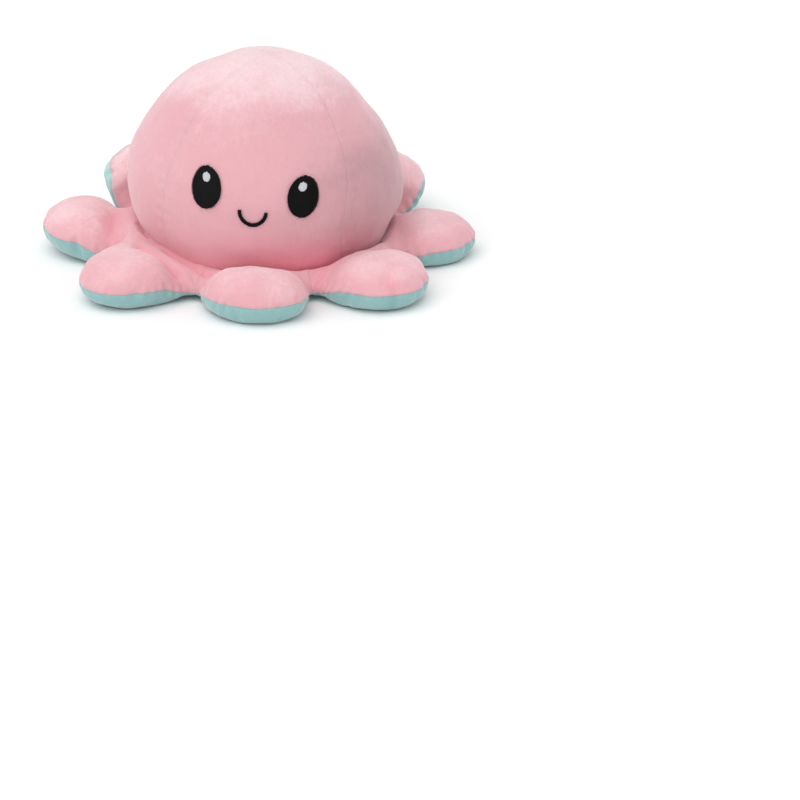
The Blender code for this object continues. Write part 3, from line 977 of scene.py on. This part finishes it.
def tentacle_shape(lobe, upper):
    """Places the points of one half of a tentacle: its top, or its underside; the other side is flat."""

    def shape(around, along):
        along_x = station(along, lobe)
        inner = smooth(along / ROOT_SHARE)
        across = np.clip(np.cos(around) / math.cos(2 * math.pi / TOP_SEGMENTS), -1, 1)
        if upper:
            parting = seam_height(along_x, lobe) + PARTING_GAP
            level = np.where(around > 0, top_height(around, along_x, lobe), parting)
            level = np.maximum(level, parting)
        else:
            parting = seam_height(along_x, lobe) - PARTING_GAP
            level = np.where(around < 0, sole_height(around, along_x, lobe), parting)
            level = np.minimum(level, parting)
        level = parting + (level - parting) * inner
        return np.stack((along_x, half_width(along_x, lobe) * inner**0.5 * across, level), axis=-1)

    return shape


def finish_tentacle(points, lobe, angle, seed):
    """Gathers at the edge seam, sway and curl, then the turn to the tentacle's own place."""
    options = settings().tentacles
    x, y, z = points.T
    free = FREE_EDGE.at(x)
    out = np.stack((x - LOBE_MIDDLE, y), axis=-1)
    out /= np.maximum(np.linalg.norm(out, axis=1, keepdims=True), LOBE_MIDDLE_SIZE)
    from_seam = np.abs(z - seam_height(x, lobe))
    run = np.arctan2(y, x - GATHER_CENTRE) * GATHER_RADIUS
    gathers = EDGE_GATHERS.at(points, run, options.pucker_length, seed, seed + EDGE_PATCH_STEP)
    edge = options.pucker * gathers * bell(from_seam, EDGE_GATHER_SPREAD)
    edge -= options.seam_pinch * bell(from_seam, EDGE_PINCH_SPREAD)
    x = x + out[:, 0] * edge * free
    y = y + out[:, 1] * edge * free
    y = y + lobe.sway * SWAY_RISE.at(x)
    curl = lobe.curl * CURL_RISE.at(x)
    ahead, above = x - CURL_RADIUS, z - CURL_HEIGHT
    x = CURL_RADIUS + ahead * np.cos(curl) - above * np.sin(curl)
    z = CURL_HEIGHT + ahead * np.sin(curl) + above * np.cos(curl)
    turned = (x * math.cos(angle) - y * math.sin(angle), x * math.sin(angle) + y * math.cos(angle), z)
    return np.stack(turned, axis=-1)


def pad_swell(body, lobe):
    """How the filling presses out the cloth of one tentacle's free lobe, round its flat sole."""
    upper, lower = tentacle_shape(lobe, True), tentacle_shape(lobe, False)

    def whole(around, along):
        return np.where((around > 0)[:, None], upper(around, along), lower(around, along))

    def held_at(points):
        return np.maximum(1 - HELD_SKIRT.at(points[:, 0]), points[:, 2] < HELD_SOLE_HEIGHT)

    options = settings().cloth
    return swell(
        f"cloth_{body}", whole, held_at, options.pad_spacing, options.pad_growth, options.pad_furthest
    )


def along_line(points, line):
    """1 on the line and less beside it."""
    start, run = np.array(line.start), np.subtract(line.end, line.start)
    share = np.clip((points[:, :2] - start) @ run / (run @ run), 0, 1)
    return bell(np.linalg.norm(points[:, :2] - start - share[:, None] * run, axis=1), line.width)


def line_heights(points):
    """How far ridges and folds raise the skirt at each point, and how much painted shade the folds get."""
    rise, fold_painted_shade = np.zeros(len(points)), np.zeros(len(points))
    for line in RIDGES:
        rise += along_line(points, line) * np.maximum(0, line.height - points[:, 2] - rise)
    for line in FOLD_LINES:
        strength = along_line(points, line)
        rise -= line.height * strength
        fold_painted_shade += strength
    radius, angle = np.hypot(points[:, 0], points[:, 1]), np.arctan2(points[:, 1], points[:, 0])
    in_fold = cheek_share(angle) ** 2 * (1 - NECK_FOLD.at(radius))
    rise -= in_fold * np.maximum(0, points[:, 2] + rise - NECK_FOLD_HEIGHT)
    return rise, fold_painted_shade


def principled(name):
    material = bpy.data.materials.new(name)
    material.use_nodes = True
    return material, material.node_tree, material.node_tree.nodes["Principled BSDF"]


def add_node(tree, kind, inputs=None, **values):
    node = tree.nodes.new(kind)
    for name, value in values.items():
        setattr(node, name, value)
    for name, value in (inputs or {}).items():
        if isinstance(value, bpy.types.NodeSocket):
            tree.links.new(value, node.inputs[name])
        else:
            node.inputs[name].default_value = value
    return node


def mix_colour(tree, share, first, second, blend="MIX"):
    node = add_node(tree, "ShaderNodeMix", data_type="RGBA", blend_type=blend)
    for index, value in ((0, share), (6, first), (7, second)):
        if isinstance(value, bpy.types.NodeSocket):
            tree.links.new(value, node.inputs[index])
        elif index:
            node.inputs[index].default_value = (*value, 1)
        else:
            node.inputs[index].default_value = value
    return node.outputs[2]


def math_node(tree, operation, first, second):
    node = add_node(tree, "ShaderNodeMath", operation=operation)
    for index, value in enumerate((first, second)):
        if isinstance(value, bpy.types.NodeSocket):
            tree.links.new(value, node.inputs[index])
        else:
            node.inputs[index].default_value = value
    return node.outputs[0]


def remap(tree, value, low, high, to_low=0.0, to_high=1.0):
    inputs = {"Value": value, "From Min": low, "From Max": high, "To Min": to_low, "To Max": to_high}
    return add_node(tree, "ShaderNodeMapRange", inputs, interpolation_type="SMOOTHSTEP").outputs[0]


def plush_material(name, mid, light, turned, deep):
    """Short soft pile: brushed blotches, fine streaks, painted shade in folds, painted light and shade set
    per point, a pale sheen.
    """
    # light is the paler colour for painted light and pale blotches; turned and deep are colours of painted
    # shade, deep also of the fine grain
    material, tree, shader = principled(name)
    place = add_node(tree, "ShaderNodeTexCoord").outputs["Object"]
    noise_at = {"Vector": place, "Scale": 60, "Detail": 2, "Roughness": 0.5, "Distortion": 0.3}
    blotch = add_node(tree, "ShaderNodeTexNoise", noise_at).outputs[0]
    stretched = add_node(tree, "ShaderNodeMapping", {"Vector": place, "Scale": (520, 520, 170)}).outputs[0]
    streak = add_node(tree, "ShaderNodeTexNoise", {"Vector": stretched, "Scale": 1, "Detail": 2}).outputs[0]
    pile = add_node(tree, "ShaderNodeTexNoise", {"Vector": place, "Scale": 1500, "Detail": 2}).outputs[0]
    # Painted light and shade set per point, to which random blotches and streaks are added
    tone = add_node(tree, "ShaderNodeAttribute", attribute_name="nap_tone").outputs["Fac"]
    uneven = math_node(tree, "ADD", tone, remap(tree, blotch, 0.25, 0.75, -0.16, 0.22))
    uneven = math_node(tree, "ADD", uneven, remap(tree, streak, 0.25, 0.75, -0.09, 0.11))
    even = math_node(tree, "MULTIPLY", math_node(tree, "ADD", tone, uneven), 0.5)
    # Paler for painted light and pale blotches, then darker for painted shade
    colour = mix_colour(tree, remap(tree, uneven, 0.0, 1.2), mid, light)
    colour = mix_colour(tree, remap(tree, even, -0.1, -1.0), colour, turned)
    # Painted shade in creases and folds
    fold = add_node(tree, "ShaderNodeAttribute", attribute_name="fold_depth").outputs["Fac"]
    colour = mix_colour(tree, math_node(tree, "MULTIPLY", fold, 0.75), colour, deep)
    # Fine grain of the pile
    colour = mix_colour(tree, remap(tree, pile, 0.35, 0.70, 0.0, 0.12), colour, deep)
    tree.links.new(colour, shader.inputs["Base Color"])
    shader.inputs["Roughness"].default_value = 0.95
    shader.inputs["Specular IOR Level"].default_value = 0.15
    shader.inputs["Sheen Weight"].default_value = 0.60
    shader.inputs["Sheen Roughness"].default_value = 0.40
    shader.inputs["Sheen Tint"].default_value = (1.0, 0.93, 0.94, 1)
    shader.inputs["Subsurface Weight"].default_value = 0.25
    shader.inputs["Subsurface Radius"].default_value = (0.004, 0.0025, 0.0025)
    shader.inputs["Subsurface Scale"].default_value = 1.0
    soft = add_node(tree, "ShaderNodeBump", {"Height": streak, "Strength": 0.35, "Distance": 0.0009})
    fine = {"Height": pile, "Strength": 0.45, "Distance": 0.00035, "Normal": soft.outputs[0]}
    tree.links.new(add_node(tree, "ShaderNodeBump", fine).outputs[0], shader.inputs["Normal"])
    return material


def thread_material(name, colour, roughness):
    """Shiny twisted embroidery thread."""
    material, tree, shader = principled(name)
    place = add_node(tree, "ShaderNodeTexCoord").outputs["Object"]
    strand = add_node(tree, "ShaderNodeTexNoise", {"Vector": place, "Scale": 2600, "Detail": 2}).outputs[0]
    pale = tuple(min(1, part * 1.4) for part in colour)
    tree.links.new(mix_colour(tree, remap(tree, strand, 0.4, 0.8), colour, pale), shader.inputs["Base Color"])
    shader.inputs["Roughness"].default_value = roughness
    shader.inputs["Specular IOR Level"].default_value = 0.12
    bump = add_node(tree, "ShaderNodeBump", {"Height": strand, "Strength": 0.4, "Distance": 0.0001})
    tree.links.new(bump.outputs[0], shader.inputs["Normal"])
    return material


def shared_material(name):
    """The toy's materials, each made once."""
    found = bpy.data.materials.get(name)
    if found:
        return found
    colour, cloth = name.split("_")
    colours = settings().colours
    if cloth == "satin":
        return thread_material(name, tuple(getattr(colours, colour)), THREAD_ROUGHNESS[colour])
    return plush_material(name, *(getattr(colours, colour + tone) for tone in PLUSH_TONES))


class OCTOPUS_OT_head(bpy.types.Operator):
    """Four sewn panels of the outer skin over the head's filling"""

    bl_idname = "octopus.head"
    bl_label = "Head"

    def execute(self, context):
        for number, side in enumerate(PANEL_SIDES):
            obj = make_gore(f"plush_head_{side}", HEAD_DOME, number)
            x, y, z = read_points(obj).T
            # Painted shade: darker towards the neck, most on the right of the chin
            low = (1 - NECK_LEVEL.at(z)) ** NECK_SHADE_POWER
            set_painted_shade(obj, (HEAD_SHADE + HEAD_SHADE_RIGHT.at(x)) * low)
            # Painted light on the crown; painted shade on the right side, fading towards the back and the top
            turned = (RIGHT_PAINTED_SHADE.at(x) + FAR_RIGHT_PAINTED_SHADE.at(x)) * (1 - PAINTED_SHADE_FADE_BACK.at(y))
            set_painted_lit_and_shaded(obj, CROWN_PAINTED_LIGHT.at(z) - turned * (1 - PAINTED_SHADE_FADE_UP.at(z)))
            thicken(obj)
            nodes = [f"head_panel_{side}"] + (["head_filling"] if side == "front" else [])
            dress(obj, "head", shared_material("rose_plush"), nodes)
        return {"FINISHED"}


class OCTOPUS_OT_pocket(bpy.types.Operator):
    """Four sewn panels of the inner skin, which line the pocket under the head"""

    bl_idname = "octopus.pocket"
    bl_label = "Pocket lining"

    def execute(self, context):
        for number, side in enumerate(PANEL_SIDES):
            obj = make_gore(f"plush_lining_{side}", POCKET_DOME, number)
            set_painted_shade(obj, 0)
            set_painted_lit_and_shaded(obj, 0)
            thicken(obj)
            dress(obj, "head", shared_material("aqua_plush"), [f"lining_panel_{side}"])
        return {"FINISHED"}


class OCTOPUS_OT_tentacles(bpy.types.Operator):
    """Eight padded tentacles, each with a top of the outer skin and an underside of the inner skin"""

    bl_idname = "octopus.tentacles"
    bl_label = "Tentacles"

    def execute(self, context):
        for index, (body, fold) in enumerate(FOLDS.items()):
            lobe = LOBES[body]
            angle = math.atan2(fold[1], fold[0])
            swollen = pad_swell(body, lobe)
            for piece, upper, slot, cloth in (
                ("top", True, "outer_plush", "rose_plush"),
                ("underside", False, "inner_plush", "aqua_plush"),
            ):
                obj = add_pad(f"plush_{body}_{piece}", TOP_SEGMENTS, TOP_RINGS, tentacle_shape(lobe, upper))
                self.shape_half(obj, lobe, upper, angle, swollen, TENTACLE_SEED_STEP * index)
                nodes = [f"{body}_{piece}"] + ([f"{body}_filling"] if upper else [])
                dress(obj, None, shared_material(cloth), nodes)
                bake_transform(obj)
        return {"FINISHED"}

    def shape_half(self, obj, lobe, upper, angle, swollen, seed):
        """Swells one half of a tentacle, places it and gives it its lumps, folds, painted shade and painted
        light.
        """
        tidy_mesh(obj)
        local = read_points(obj)
        over_seam = local[:, 2] - seam_height(local[:, 0], lobe)
        local += carried(local, swollen)
        local[:, 2] = np.maximum(local[:, 2], 0)
        points = finish_tentacle(local, lobe, angle, seed)
        write_points(obj, points)
        radius, level = np.hypot(points[:, 0], points[:, 1]), points[:, 2]
        rise, fold_painted_shade = line_heights(points)
        if upper:
            soft = settings().tentacles.lump * TENTACLE_FILLING.at(points, *TENTACLE_LUMP_SEEDS)
            held = LUMPY_LEVEL.at(level) * LUMPY_RADIUS.at(radius) * LUMPY_OVER_SEAM.at(over_seam)
            outwards = read_normals(obj)
            outwards += (np.array((0, 0, 1)) - outwards) * (1 - OUTWARD_RADIUS.at(radius))[:, None]
            write_points(obj, points + outwards * ((soft + rise) * held)[:, None])
        # Painted shade in the crease round the neck and along the folds
        near_neck = 1 - CREASE_RADIUS.at(radius)
        set_painted_shade(obj, near_neck * (CREASE_SHADE + CREASE_SHADE_RIGHT.at(points[:, 0])) + FOLD_SHADE * fold_painted_shade)
        # Painted light on the lobe's top
        set_painted_lit_and_shaded(obj, lobe.nap * LOBE_PAINTED_LIGHT_LEVEL.at(level) * LOBE_PAINTED_LIGHT_RADIUS.at(radius))


class OCTOPUS_OT_collar(bpy.types.Operator):
    """The band of outer skin in the crease under the head, and the padded ring round the pocket's mouth"""

    bl_idname = "octopus.collar"
    bl_label = "Collar and underside ring"

    def execute(self, context):
        ring = self.add_ring("plush_underside_ring", POCKET_MOUTH_RADIUS, BLEND_START, 0.0, RING_HEIGHT)
        set_painted_shade(ring, 0)
        dress(ring, "head", shared_material("aqua_plush"), ["underside_ring"])
        collar = self.add_ring("plush_tentacle_collar", COLLAR_RADIUS, ROOT_RADIUS, COLLAR_LOW, NECK_HEIGHT)
        # Painted shade over the whole collar, which lies in the crease under the head
        set_painted_shade(collar, 1)
        dress(collar, "head", shared_material("rose_plush"), ["tentacle_collar"])
        return {"FINISHED"}

    def add_ring(self, name, inner, apothem, low, high):
        """A flat padded ring, round inside and eight-sided outside."""
        deselect()
        bpy.ops.mesh.primitive_torus_add(
            major_segments=RING_SEGMENTS, minor_segments=RING_SIDES, major_radius=1, minor_radius=0.3
        )
        obj = named(name)
        points = read_points(obj)
        angle = np.arctan2(points[:, 1], points[:, 0])
        around = np.arctan2(points[:, 2], np.hypot(points[:, 0], points[:, 1]) - 1)
        outer = apothem / np.cos(wrapped(angle - FRONT_ANGLE, SECTOR))
        across = np.sign(np.cos(around)) * np.abs(np.cos(around)) ** ACROSS_POWER
        up = np.sign(np.sin(around)) * np.abs(np.sin(around)) ** UP_POWER
        radius = (inner + outer) / 2 + (outer - inner) / 2 * across
        level = (low + high) / 2 + (high - low) / 2 * up
        write_points(obj, polar(radius, angle, level))
        tidy_mesh(obj)
        return obj


def on_head(across, up, out):
    """A place on the front of the head: across and up along the skin from the widest level, and out of it."""
    height = np.where(up > 0, CROWN_HEIGHT, CHEEK_DEPTH)
    latitude = up / height
    angle = FRONT_ANGLE + across / (HEAD_RADIUS * head_share(latitude))
    points = head_surface(angle, latitude)
    outwards = outward_of(head_surface, angle, latitude, points)
    return points + outwards * np.reshape(out, (-1, 1)) + soft_head(points, outwards)


def in_pocket(across, up, out):
    """The same on the front wall of the pocket, seen from inside it."""
    latitude = up / POCKET_DOME_HEIGHT
    return pocket_surface(FRONT_ANGLE - across / (POCKET_RADIUS * np.cos(latitude)), latitude, out)


class Stitch(NamedTuple):
    """One thread: its middle, its length and width, and how far it is turned from level."""

    across: float
    up: float
    length: float
    width: float
    turn: float


def add_stitches(name, surface, stitches, base, height):
    """Threads laid side by side on a surface: one is modelled, repeated and laid in place."""
    deselect()
    bpy.ops.mesh.primitive_uv_sphere_add(segments=STITCH_SEGMENTS, ring_count=STITCH_RINGS, radius=1)
    obj = named(name)
    count = len(obj.data.vertices)
    apply_modifier(
        obj, "ARRAY", count=len(stitches), use_relative_offset=False, use_constant_offset=True,
        constant_offset_displace=(STITCH_SPACING, 0, 0), use_merge_vertices=False,
    )
    ball = read_points(obj)
    number = np.arange(len(ball)) // count
    middle, level, length, width, turn = np.array(stitches)[number].T
    ball[:, 0] -= STITCH_SPACING * number
    along = ball[:, 2]
    roundness = np.clip(1 - along**2, 0, 1)
    fuller = roundness**STITCH_POWER / np.maximum(np.sqrt(roundness), LEAST_RING)
    fuller = np.where(np.abs(along) > STITCH_POLE, 1, fuller)
    side = ball[:, 0] * fuller * width / 2
    run = along * length / 2
    across = middle + run * np.cos(turn) - side * np.sin(turn)
    up = level + run * np.sin(turn) + side * np.cos(turn)
    out = base + height * (1 + ball[:, 1] * fuller) / 2
    write_points(obj, surface(across, up, out))
    with editing(obj):
        bpy.ops.mesh.normals_make_consistent(inside=False)
    bpy.ops.object.shade_smooth()
    return obj


def add_patch(name, surface, centre, outline, base, height):
    """A low dome under a patch of satin stitch; outline(angle) gives its edge."""

    def shape(around, along):
        share = np.cos((along - 0.5) * math.pi)
        across, up = outline(around)
        out = base + height * np.clip(np.sin((along - 0.5) * math.pi), 0, 1)
        return surface(centre[0] + across * share, centre[1] + up * share, out)

    obj = add_pad(name, PATCH_SEGMENTS, PATCH_RINGS, shape)
    tidy_mesh(obj)
    return obj


def join(first, *others):
    deselect()
    for obj in (first, *others):
        obj.select_set(True)
    bpy.context.view_layer.objects.active = first
    bpy.ops.object.join()
    return first


def oval_outline(width, height):
    return lambda angle: (width / 2 * np.cos(angle), height / 2 * np.sin(angle))


def satin_rows(centre, width_at, low, high, thread, seed):
    """Level rows of stitches from low to high; width_at(up) gives the two ends of a row."""
    generator = np.random.default_rng(seed)
    rows = []
    for up in np.arange(low + thread / 2, high, thread):
        left, right = width_at(up)
        left -= generator.uniform(0, ROW_UNEVENNESS) * thread
        right += generator.uniform(0, ROW_UNEVENNESS) * thread
        if right - left > thread:
            middle = (left + right) / 2
            rows.append(Stitch(centre[0] + middle, centre[1] + up, right - left, thread * ROW_OVERLAP, 0))
    return rows


def add_satin(name, surface, centre, outline, ends, span, seed, layers):
    """A patch of satin stitch: level rows of thread laid over a low dome, as one piece."""
    under, over = layers
    thread = settings().face.thread_width
    patch = add_patch(name, surface, centre, outline, *under)
    rows = satin_rows(centre, ends, *span, thread, seed)
    return join(patch, add_stitches(f"{name}_rows", surface, rows, *over))


def add_glint(name, surface, centre, seed, layers):
    """The round light spot of an eye."""
    outline = oval_outline(GLINT_DOME_SIZE, GLINT_DOME_SIZE)
    span = (-GLINT_SIZE / 2, GLINT_SIZE / 2)
    return add_satin(name, surface, centre, outline, oval_ends(GLINT_SIZE, GLINT_SIZE), span, seed, layers)


def oval_ends(width, height):
    """Where a level row at a given height starts and ends in an oval."""

    def ends(up):
        reach = width / 2 * math.sqrt(max(0, 1 - (2 * up / height) ** 2))
        return -reach, reach

    return ends


def arc_stitches(centre, radius, bow, seed):
    """Short stitches across a line that follows half a circle; bow is 1 upwards and -1 downwards."""
    thread = settings().face.thread_width
    generator = np.random.default_rng(seed)
    count = round(math.pi * radius / thread / ARC_STEP)
    stitches = []
    for step in range(count + 1):
        angle = math.pi * step / count
        place = (centre[0] + radius * math.cos(angle), centre[1] + bow * radius * math.sin(angle))
        length = MOUTH_LINE * generator.uniform(*ARC_LENGTHS)
        turn = bow * angle + generator.uniform(-ARC_WAVER, ARC_WAVER)
        stitches.append(Stitch(*place, length, thread * ARC_OVERLAP, turn))
    return stitches


class OCTOPUS_OT_happy_face(bpy.types.Operator):
    """Two oval eyes with a light spot each, and a smile, embroidered on the front of the head"""

    bl_idname = "octopus.happy_face"
    bl_label = "Happy face"

    def execute(self, context):
        face = settings().face
        thread = face.thread_width
        black, white = shared_material("black_satin"), shared_material("white_satin")
        outline = oval_outline(face.eye_width - thread, face.eye_height - thread)
        ends = oval_ends(face.eye_width, face.eye_height)
        span = (-face.eye_height / 2, face.eye_height / 2)
        for seed, (side, sign) in enumerate(SIDES):
            centre = (sign * face.eye_offset - face.face_turn, face.eye_rise)
            eye = add_satin(f"satin_{side}_eye", on_head, centre, outline, ends, span, seed, EYE_LAYERS)
            dress(eye, "head", black, [f"{side}_eye"])
            shift = RIGHT_GLINT_SHIFT if side == "right" else 0
            spot = (centre[0] + shift, centre[1] + GLINT_RISE)
            glint = add_glint(f"satin_{side}_glint", on_head, spot, seed + GLINT_SEED, GLINT_LAYERS)
            dress(glint, "head", white, [f"{side}_eye_glint"])
        arc = arc_stitches((-face.face_turn, SMILE_RISE), face.smile_radius, -1, SMILE_SEED)
        smile = add_stitches("satin_smile", on_head, arc, *SMILE_LAYER)
        dress(smile, "head", black, ["smile"])
        return {"FINISHED"}


def scowl_outline(width, height, mirror):
    """An oval cut off at the top by a brow that slants down towards the middle of the face."""

    def outline(angle):
        across = width / 2 * np.cos(angle)
        brow = BROW_SHARE * height + mirror * across * BROW_SLOPE
        return across, np.minimum(height * SCOWL_DEPTH_SHARE * np.sin(angle), brow)

    return outline


def scowl_ends(width, height, mirror):
    """Where a level row starts and ends in a scowling eye."""

    def ends(up):
        reach = width / 2 * math.sqrt(max(0, 1 - (up / (SCOWL_DEPTH_SHARE * height)) ** 2))
        brow_at = mirror * (up - BROW_SHARE * height) / BROW_SLOPE
        if mirror > 0:
            return max(-reach, brow_at), reach
        return -reach, min(reach, brow_at)

    return ends


class OCTOPUS_OT_grumpy_face(bpy.types.Operator):
    """Two scowling eyes and a frown, embroidered on the lining inside the pocket"""

    bl_idname = "octopus.grumpy_face"
    bl_label = "Grumpy face"

    def execute(self, context):
        thread = settings().face.thread_width
        black, white = shared_material("black_satin"), shared_material("white_satin")
        span = (-SCOWL_DEPTH_SHARE * SCOWL_HEIGHT, SCOWL_TOP_SHARE * SCOWL_HEIGHT)
        for number, (side, sign) in enumerate(SIDES):
            name = f"satin_pocket_{side}"
            centre = (sign * SCOWL_OFFSET, SCOWL_RISE)
            outline = scowl_outline(SCOWL_WIDTH - thread, SCOWL_HEIGHT - thread, sign)
            ends = scowl_ends(SCOWL_WIDTH, SCOWL_HEIGHT, sign)
            seed = number + SCOWL_SEED
            eye = add_satin(f"{name}_eye", in_pocket, centre, outline, ends, span, seed, SCOWL_LAYERS)
            dress(eye, "head", black, [f"pocket_{side}_eye"])
            spot = (centre[0] + SCOWL_GLINT_SHIFT, centre[1])
            seed = number + SCOWL_GLINT_SEED
            glint = add_glint(f"{name}_glint", in_pocket, spot, seed, SCOWL_GLINT_LAYERS)
            dress(glint, "head", white, [f"pocket_{side}_eye_glint"])
        arc = arc_stitches((0, FROWN_RISE), FROWN_RADIUS, 1, FROWN_SEED)
        frown = add_stitches("satin_pocket_frown", in_pocket, arc, *FROWN_LAYER)
        dress(frown, "head", black, ["pocket_frown"])
        return {"FINISHED"}


class OCTOPUS_OT_studio(bpy.types.Operator):
    """A pale floor, soft light from all round and a camera in front"""

    bl_idname = "octopus.studio"
    bl_label = "Studio"

    def execute(self, context):
        options = settings().studio
        deselect()
        bpy.ops.mesh.primitive_plane_add(size=FLOOR_SIZE)
        floor = bpy.context.object
        floor.name = "studio_floor"
        material, tree, shader = principled("studio_floor")
        shader.inputs["Base Color"].default_value = (0.93, 0.93, 0.93, 1)
        shader.inputs["Roughness"].default_value = 0.9
        floor.data.materials.append(material)
        world = bpy.data.worlds.new("studio_sky")
        world.use_nodes = True
        sky = world.node_tree.nodes["Background"]
        sky.inputs["Color"].default_value = (1, 1, 1, 1)
        sky.inputs["Strength"].default_value = options.sky
        context.scene.world = world
        bpy.ops.object.light_add(type="SUN", location=KEY_PLACE)
        key = bpy.context.object
        key.name = "studio_key"
        key.rotation_euler = key.location.to_track_quat("Z", "Y").to_euler()
        key.data.energy = options.key
        key.data.angle = options.key_angle
        bpy.ops.object.camera_add(location=CAMERA_PLACE)
        camera = bpy.context.object
        camera.rotation_euler = CAMERA_ANGLES
        camera.data.lens = options.lens
        camera.data.sensor_width = SENSOR_WIDTH
        context.scene.camera = camera
        context.scene.view_settings.view_transform = "Standard"
        return {"FINISHED"}


class OctopusSettings(bpy.types.PropertyGroup):
    head: PointerProperty(type=HeadSettings)
    tentacles: PointerProperty(type=TentacleSettings)
    cloth: PointerProperty(type=ClothSettings)
    face: PointerProperty(type=FaceSettings)
    colours: PointerProperty(type=ColourSettings)
    studio: PointerProperty(type=StudioSettings)


STEPS = (
    OCTOPUS_OT_head,
    OCTOPUS_OT_pocket,
    OCTOPUS_OT_collar,
    OCTOPUS_OT_tentacles,
    OCTOPUS_OT_happy_face,
    OCTOPUS_OT_grumpy_face,
    OCTOPUS_OT_studio,
)


class OCTOPUS_PT_panel(bpy.types.Panel):
    """Lists the pieces of the toy"""

    bl_label = "Plush Octopus"
    bl_idname = "OCTOPUS_PT_panel"
    bl_space_type = "VIEW_3D"
    bl_region_type = "UI"
    bl_category = "Octopus"

    def draw(self, context):
        for group in ("head", "tentacles", "cloth", "face", "colours", "studio"):
            values = getattr(settings(), group)
            for name in values.__annotations__:
                self.layout.prop(values, name)
        for step in STEPS:
            self.layout.operator(step.bl_idname)


CLASSES = (
    HeadSettings, TentacleSettings, ClothSettings, FaceSettings, ColourSettings, StudioSettings,
    OctopusSettings, *STEPS, OCTOPUS_PT_panel,
)


def register():
    for cls in CLASSES:
        bpy.utils.register_class(cls)
    bpy.types.Scene.octopus = PointerProperty(type=OctopusSettings)


def unregister():
    del bpy.types.Scene.octopus
    for cls in reversed(CLASSES):
        bpy.utils.unregister_class(cls)


def main():
    register()
    bpy.ops.octopus.head()
    bpy.ops.octopus.pocket()
    bpy.ops.octopus.collar()
    bpy.ops.octopus.tentacles()
    bpy.ops.octopus.happy_face()
    bpy.ops.octopus.grumpy_face()
    bpy.ops.octopus.studio()


if __name__ == "__main__":
    main()
